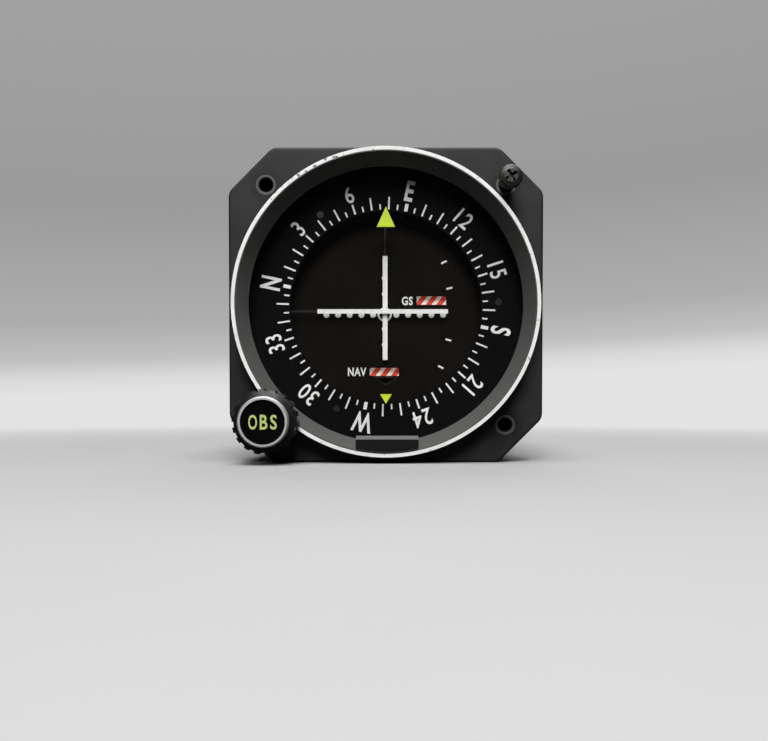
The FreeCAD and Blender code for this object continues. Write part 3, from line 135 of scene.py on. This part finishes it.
class Paint:
    """One principled material and the small node chains that feed it."""

    def __init__(self, name, colour=(0.5, 0.5, 0.5), roughness=0.5, metallic=0.0, specular=0.5):
        self.material = bpy.data.materials.new(name)
        self.material.use_nodes = True
        self.tree = self.material.node_tree
        self.shader = self.tree.nodes["Principled BSDF"]
        self.set("Base Color", (*colour, 1))
        self.set("Roughness", roughness)
        self.set("Metallic", metallic)
        self.set("Specular IOR Level", specular)
        place = self.tree.nodes.new("ShaderNodeTexCoord")
        self.place = place.outputs["Object"]

    def set(self, socket, value):
        self.shader.inputs[socket].default_value = value

    def node(self, kind, **inputs):
        made = self.tree.nodes.new(kind)
        for key, value in inputs.items():
            self.feed(made.inputs[key], value)
        return made

    def feed(self, socket, value):
        if isinstance(value, bpy.types.NodeSocket):
            self.tree.links.new(value, socket)
        else:
            socket.default_value = value

    def maths(self, operation, first, second=0.0, third=0.0, clamp=False):
        made = self.tree.nodes.new("ShaderNodeMath")
        made.operation = operation
        made.use_clamp = clamp
        for socket, value in zip(made.inputs, (first, second, third)):
            self.feed(socket, value)
        return made.outputs[0]

    def noise(self, per_mm, detail=3.0, rough=0.55, stretch=(1, 1, 1)):
        """Noise with a scale given in features per millimetre."""
        mapping = self.tree.nodes.new("ShaderNodeMapping")
        mapping.inputs["Scale"].default_value = [s / MM for s in stretch]
        self.feed(mapping.inputs["Vector"], self.place)
        made = self.node("ShaderNodeTexNoise", Scale=per_mm, Detail=detail, Roughness=rough)
        self.feed(made.inputs["Vector"], mapping.outputs[0])
        return made.outputs["Fac"]

    def step(self, value, low, high):
        """Runs from 0 at low to 1 at high, smoothly."""
        made = self.node("ShaderNodeMapRange")
        made.interpolation_type = "SMOOTHSTEP"
        for socket, number in (("Value", value), ("From Min", low), ("From Max", high)):
            self.feed(made.inputs[socket], number)
        return made.outputs[0]

    def blend(self, amount, first, second):
        """A colour between two, by amount."""
        made = self.tree.nodes.new("ShaderNodeMix")
        made.data_type = "RGBA"
        self.feed(made.inputs[0], amount)
        for socket, value in ((made.inputs[6], first), (made.inputs[7], second)):
            self.feed(socket, (*value, 1) if isinstance(value, tuple) and len(value) == 3 else value)
        return made.outputs[2]

    def mix(self, amount, first, second):
        """A number between two, by amount."""
        made = self.tree.nodes.new("ShaderNodeMix")
        for socket, value in zip(made.inputs[:1] + made.inputs[2:4], (amount, first, second)):
            self.feed(socket, value)
        return made.outputs[0]

    def axes(self):
        """The X, Y and Z of the place, in metres."""
        made = self.node("ShaderNodeSeparateXYZ", Vector=self.place)
        return made.outputs

    def reach(self, x=0.0, z=0.0):
        """The distance on the face from a point of it."""
        axes = self.axes()
        across = self.maths("SUBTRACT", axes[0], x)
        up = self.maths("SUBTRACT", axes[2], z)
        square = self.maths("ADD", self.maths("MULTIPLY", across, across),
                            self.maths("MULTIPLY", up, up))
        return self.maths("SQRT", square)

    def reach_flat(self):
        """The distance over the floor from the object."""
        axes = self.axes()
        square = self.maths("ADD", self.maths("MULTIPLY", axes[0], axes[0]),
                            self.maths("MULTIPLY", axes[1], axes[1]))
        return self.maths("SQRT", square)

    def edges(self, radius_mm, low=0.02, high=0.25):
        """1 near sharp edges and 0 on open faces."""
        bevel = self.tree.nodes.new("ShaderNodeBevel")
        bevel.samples = 4
        bevel.inputs["Radius"].default_value = radius_mm * MM
        geometry = self.tree.nodes.new("ShaderNodeNewGeometry")
        dot = self.tree.nodes.new("ShaderNodeVectorMath")
        dot.operation = "DOT_PRODUCT"
        self.feed(dot.inputs[0], bevel.outputs[0])
        self.feed(dot.inputs[1], geometry.outputs["True Normal"])
        return self.step(self.maths("SUBTRACT", 1.0, dot.outputs["Value"]), low, high)

    def bump(self, height, depth_mm, strength=1.0):
        made = self.node("ShaderNodeBump", Strength=strength, Distance=depth_mm * MM, Height=height)
        self.feed(self.shader.inputs["Normal"], made.outputs[0])

    def colour(self, value):
        self.feed(self.shader.inputs["Base Color"], value)

    def roughness(self, value):
        self.feed(self.shader.inputs["Roughness"], value)


def worn_enamel(name, base, bare, roughness=0.5, wear=0.55, edge_mm=0.5, grain=2.2):
    """Sprayed enamel: fine orange peel, dust, faint scuffs and thin bare edges."""
    paint = Paint(name, base, roughness)
    cloud = paint.noise(0.09, 5)
    peel = paint.noise(grain, 2)
    scuff = paint.noise(0.35, 6, 0.7, (1, 1, 0.35))
    edge = paint.maths("MULTIPLY", paint.edges(edge_mm), paint.step(scuff, 0.42, 0.42 + 0.3 / wear))
    tone = paint.blend(paint.step(cloud, 0.3, 0.75), base, tuple(c * 1.45 + 0.004 for c in base))
    paint.colour(paint.blend(edge, tone, bare))
    paint.roughness(paint.mix(paint.step(scuff, 0.35, 0.75), roughness - 0.04, roughness + 0.07))
    paint.bump(peel, 0.02, 0.35)
    return paint


def turned_metal(name, colour, roughness=0.3, tarnish=0.6):
    """Machined metal with fine tool lines and dull patches."""
    paint = Paint(name, colour, roughness, 1.0)
    patches = paint.noise(0.35, 5)
    lines = paint.noise(3.0, 2, 0.5, (0.2, 2.5, 0.2))
    dull = tuple(c * tarnish for c in colour)
    paint.colour(paint.blend(paint.step(patches, 0.35, 0.7), colour, dull))
    paint.roughness(paint.mix(patches, roughness - 0.08, roughness + 0.2))
    paint.bump(lines, 0.01, 0.3)
    return paint


def worn_black_oxide():
    """Blackened steel, dull on its faces and rubbed bright along its edges."""
    paint = Paint("black_oxide", (0.05, 0.05, 0.047), 0.45, 0.8)
    patches = paint.noise(0.9, 5)
    edge = paint.maths("MULTIPLY", paint.edges(0.14), paint.step(patches, 0.38, 0.55))
    face = paint.blend(patches, (0.030, 0.030, 0.027), (0.060, 0.060, 0.055))
    paint.colour(paint.blend(paint.maths("MULTIPLY", edge, 0.8), face, (0.42, 0.41, 0.38)))
    paint.roughness(paint.mix(patches, 0.36, 0.58))
    paint.bump(patches, 0.03, 0.4)
    return paint.material


def matte_print(name, base, grain=1.2, variation=1.35, roughness=0.75, specular=0.3):
    """Flat printed or sprayed dial paint with a faint mottle."""
    paint = Paint(name, base, roughness, specular=specular)
    mottle = paint.noise(grain, 4)
    cloud = paint.noise(0.06, 3)
    tone = paint.blend(mottle, base, tuple(c * variation for c in base))
    paint.colour(paint.blend(paint.step(cloud, 0.35, 0.7), tone, tuple(c * 0.85 for c in base)))
    paint.bump(mottle, 0.008, 0.3)
    return paint


def dusty_plastic(name, base, roughness=0.36):
    """Moulded black plastic, handled smooth, with dust caught in specks on its edges."""
    paint = Paint(name, base, roughness, specular=0.42)
    grime = paint.noise(1.5, 6, 0.7)
    dents = paint.noise(1.1, 3)
    edge = paint.maths("MULTIPLY", paint.edges(0.16), paint.step(grime, 0.50, 0.60))
    paint.colour(paint.blend(paint.maths("MULTIPLY", edge, 0.7), base, (0.17, 0.16, 0.14)))
    paint.roughness(paint.mix(paint.step(grime, 0.35, 0.65), roughness - 0.1, roughness + 0.25))
    paint.bump(dents, 0.12, 0.5)
    return paint


def flange_enamel():
    """The flange's black enamel, with rubbed patches round the screw holes and dust."""
    paint = worn_enamel("flange_enamel", (0.0115, 0.0115, 0.0120), (0.12, 0.12, 0.12), 0.50, 0.5, 0.5)
    paint.set("Specular IOR Level", 0.22)
    base = paint.shader.inputs["Base Color"].links[0].from_socket
    smudge = 0.0
    for side_x, side_z in ((-1, 1), (1, 1), (1, -1)):
        near = paint.reach(side_x * HOLE_REACH, side_z * HOLE_REACH)
        wobble = paint.maths("MULTIPLY", paint.noise(0.5, 4), 3.2 * MM)
        round_hole = paint.step(paint.maths("ADD", near, wobble), 6.8 * MM, 4.4 * MM)
        smudge = paint.maths("MAXIMUM", smudge, round_hole)
    paint.colour(paint.blend(smudge, base, (0.009, 0.008, 0.008)))
    return paint.material


def bezel_paint():
    """Chipped white paint on the lip, a dark sloping ring and a black name bar with a painted highlight
    on its top bevel.
    """
    paint = Paint("bezel_paint", (0.5, 0.5, 0.5), 0.42, specular=0.25)
    reach = paint.reach()
    across, depth, up = paint.axes()
    on_front = paint.step(reach, LIP_IN_R - 0.03 * MM, LIP_IN_R + 0.03 * MM)
    ragged = paint.maths("MULTIPLY", paint.maths("SUBTRACT", paint.noise(0.8, 5, 0.7), 0.5), 1.6 * MM)
    on_rim = paint.step(paint.maths("ADD", depth, ragged), COLLAR_FRONT + 1.9 * MM,
                        COLLAR_FRONT + 1.6 * MM)
    lean = paint.maths("ADD", paint.maths("MULTIPLY", across, -0.53), paint.maths("MULTIPLY", up, 0.85))
    upper_left = paint.step(lean, 0.91 * COLLAR_R, 0.985 * COLLAR_R)
    chance = paint.mix(upper_left, 0.655, 0.565)
    chips = paint.step(paint.maths("SUBTRACT", paint.noise(0.75, 5, 0.7), chance), 0.0, 0.012)
    painted = paint.maths("MULTIPLY", paint.maths("MULTIPLY", on_front, on_rim),
                          paint.maths("SUBTRACT", 1.0, chips))
    grime = paint.noise(0.25, 5)
    white = paint.blend(paint.step(grime, 0.45, 0.75), (0.78, 0.78, 0.765), (0.68, 0.68, 0.655))
    ring = paint.blend(paint.noise(1.4, 4), (0.064, 0.064, 0.061), (0.088, 0.088, 0.084))
    in_bar = paint.maths("MULTIPLY", paint.step(across, NAME_BAR[0] - 0.03 * MM, NAME_BAR[0]),
                         paint.step(across, NAME_BAR[1] + 0.03 * MM, NAME_BAR[1]))
    in_bar = paint.maths("MULTIPLY", in_bar, paint.step(up, NAME_BAR[2] + 0.05 * MM, NAME_BAR[2]))
    # Painted highlight: the name bar's top bevel is painted light grey, its face black.
    on_face = paint.step(up, NAME_BAR[3] + 0.08 * MM, NAME_BAR[3])
    bar = paint.blend(on_face, (0.125, 0.125, 0.122), (0.005, 0.005, 0.005))
    paint.colour(paint.blend(painted, paint.blend(in_bar, ring, bar), white))
    paint.roughness(paint.mix(painted, 0.38, 0.5))
    paint.bump(paint.maths("ADD", paint.maths("MULTIPLY", painted, 0.7),
                           paint.maths("MULTIPLY", paint.noise(2.5, 2), 0.25)), 0.05, 0.5)
    return paint.material


def insert_paint():
    """Dull plated rims, with painted shade in the bores."""
    paint = Paint("insert_paint", (0.05, 0.05, 0.05), 0.5, 0.4)
    patches = paint.noise(0.7, 4)
    rim = paint.blend(patches, (0.052, 0.050, 0.050), (0.085, 0.082, 0.080))
    # Painted shade: deeper than 0.3 mm the bores are painted near black and matt.
    painted_bore_shade = paint.step(paint.axes()[1], 0.12 * MM, 0.30 * MM)
    paint.colour(paint.blend(painted_bore_shade, rim, (0.0015, 0.0015, 0.0015)))
    paint.roughness(paint.mix(painted_bore_shade, 0.5, 0.9))
    paint.bump(patches, 0.01, 0.3)
    return paint.material


def needle_paint(name, pivot, pointing, bar_start):
    """White bar and dark arm, told apart by the distance from the pivot."""
    paint = Paint(name, (0.8, 0.8, 0.78), 0.6, specular=0.2)
    axes = paint.axes()
    across = paint.maths("MULTIPLY", paint.maths("SUBTRACT", axes[0], pivot[0]), pointing[0])
    up = paint.maths("MULTIPLY", paint.maths("SUBTRACT", axes[2], pivot[1]), pointing[1])
    along = paint.maths("ADD", across, up)
    bar = paint.step(along, bar_start - 0.05 * MM, bar_start + 0.05 * MM)
    grime = paint.noise(0.8, 4)
    white = paint.blend(paint.step(grime, 0.4, 0.8), (0.86, 0.86, 0.84), (0.76, 0.76, 0.73))
    paint.colour(paint.blend(bar, (0.012, 0.012, 0.012), white))
    paint.bump(grime, 0.01, 0.2)
    return paint.material


def flag_stripes(name, window, slope=0.75, pitch_mm=2.9):
    """Slanting red and white stripes, with a painted glow that brightens them in the shade of their
    windows.
    """
    paint = Paint(name, (0.7, 0.1, 0.05), 0.5)
    axes = paint.axes()
    lean = paint.maths("SUBTRACT", paint.maths("SUBTRACT", axes[0], window[0]),
                       paint.maths("MULTIPLY", paint.maths("SUBTRACT", axes[2], window[1]), slope))
    phase = paint.maths("FRACT", paint.maths("DIVIDE", paint.maths("ADD", lean, 10 * pitch_mm * MM),
                                             pitch_mm * MM))
    white = paint.maths("MULTIPLY", paint.step(phase, 0.52, 0.56), paint.step(phase, 1.0, 0.96))
    fade = paint.noise(0.8, 4)
    red = paint.blend(fade, (0.72, 0.060, 0.025), (0.60, 0.045, 0.020))
    cream = paint.blend(fade, (0.90, 0.80, 0.72), (0.84, 0.76, 0.68))
    stripes = paint.blend(white, red, cream)
    paint.colour(stripes)
    # Painted light: the stripes also glow faintly, lifting the shade that the window edges cast on the
    # flags.
    paint.feed(paint.shader.inputs["Emission Color"], stripes)
    paint.set("Emission Strength", 0.3)
    paint.bump(fade, 0.01, 0.2)
    return paint.material


def clear_glass():
    """The cover glass: clear, with a thin sheen and a trace of dust."""
    paint = Paint("clear_glass", (0.02, 0.02, 0.02), 0.04, specular=0.15)
    dust = paint.maths("MULTIPLY", paint.step(paint.noise(1.1, 6, 0.75), 0.64, 0.76), 0.04)
    haze = paint.maths("MULTIPLY", paint.noise(0.05, 3), 0.008)
    paint.feed(paint.shader.inputs["Alpha"], paint.maths("ADD", paint.maths("ADD", dust, haze), 0.02))
    paint.colour(paint.blend(paint.step(paint.noise(1.1, 6, 0.75), 0.62, 0.7), (0.02, 0.02, 0.02),
                             (0.5, 0.49, 0.46)))
    return paint.material


def glowing_yellow(name, colour, dim):
    """Bright printed paint with faint wear."""
    paint = Paint(name, colour, 0.55)
    wear = paint.noise(1.5, 5)
    paint.colour(paint.blend(paint.step(wear, 0.45, 0.8), colour, dim))
    paint.bump(wear, 0.008, 0.2)
    return paint.material


def circuit_green():
    """Solder mask over fine copper tracks."""
    paint = Paint("circuit_green", (0.01, 0.12, 0.04), 0.35)
    axes = paint.axes()
    tracks = paint.step(paint.maths("SINE", paint.maths("MULTIPLY", axes[0], 2.4 / MM)), 0.6, 0.8)
    broken = paint.maths("MULTIPLY", tracks, paint.step(paint.noise(0.2, 2), 0.48, 0.52))
    paint.colour(paint.blend(broken, (0.010, 0.105, 0.035), (0.030, 0.20, 0.07)))
    paint.bump(broken, 0.03, 0.5)
    return paint.material


# Geometry building blocks

def settle(name, verts, faces, material, body):
    """A mesh object that rides on a body."""
    mesh = bpy.data.meshes.new(name)
    mesh.from_pydata(verts, [], faces)
    mesh.validate()
    mesh.update()
    mesh.materials.append(material)
    made = bpy.data.objects.new(name, mesh)
    bpy.context.scene.collection.objects.link(made)
    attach(made, body)


def face_outline(points, front, thickness):
    """Vertices and faces of a thin plate with an outline on the face."""
    count = len(points)
    verts = [(x, front, z) for x, z in points] + [(x, front + thickness, z) for x, z in points]
    faces = [tuple(range(count)), tuple(reversed(range(count, 2 * count)))]
    faces += [(i, i + count, (i + 1) % count + count, (i + 1) % count) for i in range(count)]
    return verts, faces


def gather(parts):
    """One list of vertices and faces from several."""
    verts = []
    faces = []
    for some_verts, some_faces in parts:
        start = len(verts)
        verts += some_verts
        faces += [tuple(i + start for i in face) for face in some_faces]
    return verts, faces


def clock(radius, angle, centre=(0.0, 0.0)):
    """The place at a radius, clockwise from the top by an angle in degrees."""
    turn = math.radians(angle)
    return centre[0] + radius * math.sin(turn), centre[1] + radius * math.cos(turn)


def bar_outline(inner, outer, width, angle, centre=(0.0, 0.0)):
    """The four corners of a radial bar."""
    turn = math.radians(angle)
    across = (math.cos(turn) * width / 2, -math.sin(turn) * width / 2)
    low = clock(inner, angle, centre)
    high = clock(outer, angle, centre)
    return [(low[0] - across[0], low[1] - across[1]), (low[0] + across[0], low[1] + across[1]),
            (high[0] + across[0], high[1] + across[1]), (high[0] - across[0], high[1] - across[1])]


def disc_outline(radius, centre, count=28):
    """The points of a round dot."""
    return [clock(radius, 360 * i / count, centre) for i in range(count)]


def loop_band(outer, inner, front, thickness):
    """A closed band between two outlines of equal length."""
    count = len(outer)
    verts = [(x, front, z) for x, z in outer] + [(x, front, z) for x, z in inner]
    verts += [(x, front + thickness, z) for x, z in outer + inner]
    faces = []
    for i in range(count):
        j = (i + 1) % count
        faces.append((i, j, j + count, i + count))
        faces.append((i + 2 * count, i + 3 * count, j + 3 * count, j + 2 * count))
        faces.append((i, i + 2 * count, j + 2 * count, j))
        faces.append((i + count, j + count, j + 3 * count, i + 3 * count))
    return verts, faces


def lettering(words, height, condense, weight, spread, centre, angle, front):
    """Vertices and faces of a word on the face, clockwise-turned, fitted to a height."""
    curve = bpy.data.curves.new("lettering", "FONT")
    curve.body = words
    curve.size = 1.0
    curve.offset = weight
    curve.resolution_u = 4
    curve.space_character = spread
    made = bpy.data.objects.new("lettering", curve)
    bpy.context.scene.collection.objects.link(made)
    mesh = made.to_mesh()
    points = [v.co.copy() for v in mesh.vertices]
    faces = [tuple(p.vertices) for p in mesh.polygons]
    made.to_mesh_clear()
    bpy.data.objects.remove(made)
    bpy.data.curves.remove(curve)
    low = [min(p[i] for p in points) for i in range(2)]
    high = [max(p[i] for p in points) for i in range(2)]
    scale = height / (high[1] - low[1])
    turn = math.radians(angle)
    verts = []
    for p in points:
        x = (p.x - (low[0] + high[0]) / 2) * scale * condense
        z = (p.y - (low[1] + high[1]) / 2) * scale
        verts.append((centre[0] + x * math.cos(turn) + z * math.sin(turn), front,
                      centre[1] - x * math.sin(turn) + z * math.cos(turn)))
    return verts, faces


# Marks on the card and the mask

def card_marks(material):
    """The ticks, numerals and letters of the compass scale."""
    front = CARD_Y - PAINT
    parts = []
    for heading in range(0, 360, 5):
        if heading % 90 == 0:
            kind = "cardinal"
        elif heading % 30 == 0:
            kind = "labelled"
        else:
            kind = "ten" if heading % 10 == 0 else "five"
        outer, width = TICKS[kind]
        angle = heading - CARD_TOP_COURSE
        parts.append(face_outline(bar_outline(TICK_IN_R, outer, width, angle), front, PAINT))
    for heading in range(0, 360, 30):
        angle = heading - CARD_TOP_COURSE
        if heading % 90 == 0:
            word = "NESW"[heading // 90]
            inner, height, condense, weight = LETTER_IN_R, LETTER_H, 0.66, 0.026
        else:
            word = str(heading // 10)
            inner, height, condense, weight = NUMERAL_IN_R, NUMERAL_H, 0.80, 0.011
        centre = clock(inner + height / 2, angle)
        parts.append(lettering(word, height, condense, weight, 1.12, centre, angle, front))
    verts, faces = gather(parts)
    settle("card_scale_paint", verts, faces, material, "card")


def mask_marks(material):
    """The fixed dots, circle, dashes and legends of the centre disc."""
    front = MASK_Y - PAINT
    centre = DOT_CENTRE
    places = [(centre[0] + across, centre[1] - 0.1 * MM) for across in DOTS_ACROSS]
    places += [(centre[0], -0.66 * MM + rise) for rise in DOTS_UP_DOWN]
    parts = [face_outline(disc_outline(DOT_R, place), front, PAINT) for place in places]
    outer = disc_outline(RING_OUT_R, centre, 48)
    inner = disc_outline(RING_IN_R, centre, 48)
    parts.append(loop_band(outer, inner, front, PAINT))
    for x, z, tilt in DASHES:
        turn = math.radians(tilt)
        along = (math.cos(turn) * DASH_L / 2, math.sin(turn) * DASH_L / 2)
        across = (-math.sin(turn) * DASH_W / 2, math.cos(turn) * DASH_W / 2)
        corners = [(x * MM + s * along[0] + t * across[0], z * MM + s * along[1] + t * across[1])
                   for s, t in ((-1, -1), (1, -1), (1, 1), (-1, 1))]
        parts.append(face_outline(corners, front, PAINT))
    parts.append(lettering("NAV", LEGEND_H, 0.74, 0.030, 1.12, NAV_PLACE, 0, front))
    parts.append(lettering("GS", LEGEND_H, 0.78, 0.030, 1.12, GS_PLACE, 0, front))
    verts, faces = gather(parts)
    settle("dial_mark_paint", verts, faces, material, "housing")


def arrow_edge(material):
    """The thin line round the arrow window."""
    front = MASK_Y - PAINT
    low = ARROW_TOP - ARROW_DROP
    inner_half = ARROW_HALF_W - 2.4 * ARROW_LINE
    inner_top = ARROW_TOP - ARROW_LINE
    outer = [(-ARROW_HALF_W, ARROW_TOP), (ARROW_HALF_W, ARROW_TOP), (0, low)]
    inner = [(-inner_half, inner_top), (inner_half, inner_top), (0, low + 1.4 * ARROW_LINE)]
    verts, faces = loop_band(outer, inner, front, PAINT)
    settle("arrow_edge_paint", verts, faces, material, "housing")


def knob_legend(material):
    """The letters on the knob's cap."""
    front = CAP_BOX[0][1] - PAINT
    parts = []
    for letter, across, condense in KNOB_LETTERS:
        place = (KNOB_X + across, KNOB_Z)
        parts.append(lettering(letter, KNOB_LETTER_H, condense, 0.018, 1.0, place, 0, front))
    verts, faces = gather(parts)
    settle("knob_legend_paint", verts, faces, material, "selector")


# Camera, lights and stage

def add_camera():
    """The photograph's viewpoint: a little below the dial's centre and tipped down a little."""
    data = bpy.data.cameras.new("camera")
    data.sensor_width = SENSOR_W
    data.lens = FOCAL_PX / PHOTO_W * SENSOR_W
    data.shift_y = SHIFT_PX / PHOTO_W
    data.clip_start = 0.01
    data.clip_end = 30
    camera = bpy.data.objects.new("camera", data)
    camera.location = (CAMERA_X, -CAMERA_GAP, CAMERA_Z)
    camera.rotation_euler = (math.radians(90) + CAMERA_PITCH, 0, 0)
    bpy.context.scene.collection.objects.link(camera)
    bpy.context.scene.camera = camera


def add_light(name, place, target, size, power):
    """A soft square lamp that points at a target."""
    data = bpy.data.lights.new(name, "AREA")
    data.shape = "SQUARE"
    data.size = size
    data.energy = power
    lamp = bpy.data.objects.new(name, data)
    lamp.location = place
    lamp.rotation_euler = (Vector(target) - Vector(place)).to_track_quat("-Z", "Y").to_euler()
    bpy.context.scene.collection.objects.link(lamp)


def add_world():
    """Pale behind the object for the camera, a little higher on the right; its own light is dim."""
    world = bpy.data.worlds.new("studio")
    world.use_nodes = True
    bpy.context.scene.world = world
    tree = world.node_tree
    tree.nodes.clear()
    out = tree.nodes.new("ShaderNodeOutputWorld")
    path = tree.nodes.new("ShaderNodeLightPath")
    place = tree.nodes.new("ShaderNodeTexCoord")
    split = tree.nodes.new("ShaderNodeSeparateXYZ")
    ramp = tree.nodes.new("ShaderNodeValToRGB")
    seen = tree.nodes.new("ShaderNodeBackground")
    given = tree.nodes.new("ShaderNodeBackground")
    mixed = tree.nodes.new("ShaderNodeMixShader")
    tilt = tree.nodes.new("ShaderNodeMath")
    tilt.operation = "MULTIPLY_ADD"
    tilt.inputs[1].default_value = BACKDROP_TILT
    tree.links.new(place.outputs["Generated"], split.inputs[0])
    tree.links.new(split.outputs[0], tilt.inputs[0])
    tree.links.new(split.outputs[2], tilt.inputs[2])
    tree.links.new(tilt.outputs[0], ramp.inputs[0])
    stops = ramp.color_ramp.elements
    for stop, (position, tone) in zip(stops, (BACKDROP[0], BACKDROP[-1])):
        stop.position = position
        stop.color = (tone, tone, tone, 1)
    for position, tone in BACKDROP[1:-1]:
        stops.new(position).color = (tone, tone, tone, 1)
    tree.links.new(ramp.outputs[0], seen.inputs[0])
    given.inputs[0].default_value = DIM_LIGHT
    tree.links.new(path.outputs["Is Camera Ray"], mixed.inputs[0])
    tree.links.new(given.outputs[0], mixed.inputs[1])
    tree.links.new(seen.outputs[0], mixed.inputs[2])
    tree.links.new(mixed.outputs[0], out.inputs[0])


def floor_material():
    """Pale matt paper, dimmer in the light it gives back, that fades into the backdrop's tone."""
    paint = Paint("floor_paper", (0.70, 0.70, 0.70), 0.65, specular=0.25)
    fibre = paint.noise(0.02, 4)
    tree = paint.tree
    path = tree.nodes.new("ShaderNodeLightPath")
    paper = paint.blend(fibre, *FLOOR_PAPER)
    paint.colour(paint.blend(path.outputs["Is Camera Ray"], FLOOR_GIVES_BACK, paper))
    far = paint.step(paint.reach_flat(), *FLOOR_FADE)
    glow = tree.nodes.new("ShaderNodeEmission")
    glow.inputs[0].default_value = (FAR_TONE, FAR_TONE, FAR_TONE, 1)
    amount = paint.maths("MULTIPLY", far, path.outputs["Is Camera Ray"])
    mixed = tree.nodes.new("ShaderNodeMixShader")
    tree.links.new(amount, mixed.inputs[0])
    tree.links.new(paint.shader.outputs[0], mixed.inputs[1])
    tree.links.new(glow.outputs[0], mixed.inputs[2])
    tree.links.new(mixed.outputs[0], tree.nodes["Material Output"].inputs[0])
    return paint.material


def add_floor():
    """A wide floor under the lowest point of the object."""
    low = CAD_BOX[0][2]
    corners = [(x * FLOOR_SIZE, y * FLOOR_SIZE, low) for x, y in ((-1, -1), (1, -1), (1, 1), (-1, 1))]
    mesh = bpy.data.meshes.new("floor")
    mesh.from_pydata(corners, [], [(0, 1, 2, 3)])
    floor = bpy.data.objects.new("floor", mesh)
    bpy.context.scene.collection.objects.link(floor)
    mesh.materials.append(floor_material())


# The carried-over pieces and their finishes

def dress(material, *names):
    """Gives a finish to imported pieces."""
    for name in names:
        piece = NODES[name]
        piece.data.materials.clear()
        piece.data.materials.append(material)


def dress_all():
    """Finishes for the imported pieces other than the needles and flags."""
    dress(flange_enamel(), "mounting_flange")
    dress(bezel_paint(), "bezel_ring")
    case = worn_enamel("case_enamel", (0.035, 0.036, 0.038), (0.16, 0.16, 0.16), 0.48, 0.5, 0.6, 1.6)
    dress(case.material, "dust_cover", "rear_plate")
    cast = worn_enamel("frame_enamel", (0.040, 0.040, 0.040), (0.25, 0.25, 0.25), 0.55, 0.4, 0.5, 1.2)
    dress(cast.material, "front_frame", "resolver_bracket")
    dress(clear_glass(), "cover_glass")
    lime = glowing_yellow("lime_print", (0.56, 0.72, 0.015), (0.42, 0.55, 0.02))
    dress(lime, "course_pointers")
    card = matte_print("card_black", (0.0020, 0.0020, 0.0020), specular=0.05)
    dress(card.material, "compass_card")
    rivets = matte_print("rivet_black", (0.0045, 0.0045, 0.0045), roughness=0.38, specular=0.45)
    dress(rivets.material, "card_rivets")
    dress(matte_print("mask_brown", (0.0052, 0.0039, 0.0029), specular=0.05).material, "dial_mask")
    dress(dusty_plastic("knob_black", (0.0045, 0.0045, 0.0042)).material, "obs_knob_grip")
    cap = matte_print("cap_black", (0.0018, 0.0018, 0.0018), roughness=0.3, specular=0.06)
    dress(cap.material, "obs_knob_cap")
    bright = turned_metal("knob_bright", (0.62, 0.62, 0.61), 0.52, 0.9)
    dress(bright.material, "obs_knob_ring")
    dress(worn_black_oxide(), "mounting_screw", "obs_set_screw")
    dress(insert_paint(), "mounting_inserts")
    steel = turned_metal("machined_steel", (0.50, 0.50, 0.51), 0.30)
    dress(steel.material, "obs_shaft", "resolver_shaft", "frame_screws", "rear_screws", "resolver_clamps",
          "nav_meter_yoke", "gs_meter_yoke", "rear_connector", "resolver", "glass_retainer",
          "nav_hairspring", "gs_hairspring", "shaft_rings")
    brass = turned_metal("machined_brass", (0.66, 0.47, 0.19), 0.32)
    dress(brass.material, "obs_bushing", "front_pinion", "rear_pinion", "resolver_gear",
          "nav_meter_bridge", "gs_meter_bridge")
    dress(turned_metal("plated_gold", (0.85, 0.60, 0.22), 0.2, 0.85).material, "connector_pins")
    aluminium = turned_metal("machined_aluminium", (0.66, 0.66, 0.68), 0.34, 0.8)
    dress(aluminium.material, "card_gear", "mask_posts", "front_posts", "rear_posts")
    dress(matte_print("plate_black", (0.006, 0.006, 0.006)).material, "meter_plate")
    dress(matte_print("rubber_black", (0.012, 0.012, 0.012), 2.0).material, "glass_gasket",
          "connector_insert")
    dress(matte_print("magnet_grey", (0.09, 0.09, 0.095), 1.5, 1.5).material, "nav_meter_core",
          "gs_meter_core")
    dress(turned_metal("coil_copper", (0.55, 0.22, 0.09), 0.35, 0.7).material, "nav_meter_coil",
          "gs_meter_coil")
    dress(matte_print("motor_black", (0.02, 0.02, 0.022), 1.8).material, "nav_flag_motor",
          "gs_flag_motor", "to_from_motor", "meter_board_components", "connector_board_components")
    dress(circuit_green(), "meter_board", "connector_board")
    dress(matte_print("vane_cream", (0.70, 0.70, 0.66), 1.5, 1.1).material, "to_from_vane")


def dress_needles():
    """White bars and dark arms for both needles."""
    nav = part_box("nav_needle")
    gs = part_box("gs_needle")
    nav_pivot = ((nav[0][0] + nav[1][0]) / 2, nav[1][2] - NEEDLE_HUB_R)
    gs_pivot = (gs[0][0] + NEEDLE_HUB_R, (gs[0][2] + gs[1][2]) / 2)
    dress(needle_paint("nav_needle_paint", nav_pivot, (0, -1), 15.8 * MM), "nav_needle")
    dress(needle_paint("gs_needle_paint", gs_pivot, (1, 0), 12.0 * MM), "gs_needle")


def dress_flags():
    """Striped vanes for both flags."""
    for name in ("nav_flag", "gs_flag"):
        low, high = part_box(name)
        dress(flag_stripes(name + "_paint", (low[0], low[2])), name)


add_camera()
add_world()
for lamp_name, lamp_setting in LAMPS.items():
    add_light(lamp_name, *lamp_setting)
add_floor()
dress_all()
dress_needles()
dress_flags()
print_white = matte_print("print_white", (0.82, 0.82, 0.80), 1.6, 1.08, 0.7, 0.1).material
card_marks(print_white)
mask_marks(print_white)
arrow_edge(matte_print("print_grey", (0.045, 0.045, 0.043), 1.6, 1.2, 0.7, 0.1).material)
knob_legend(glowing_yellow("legend_lime", (0.47, 0.56, 0.17), (0.38, 0.46, 0.13)))

bpy.context.scene.view_settings.view_transform = "Standard"
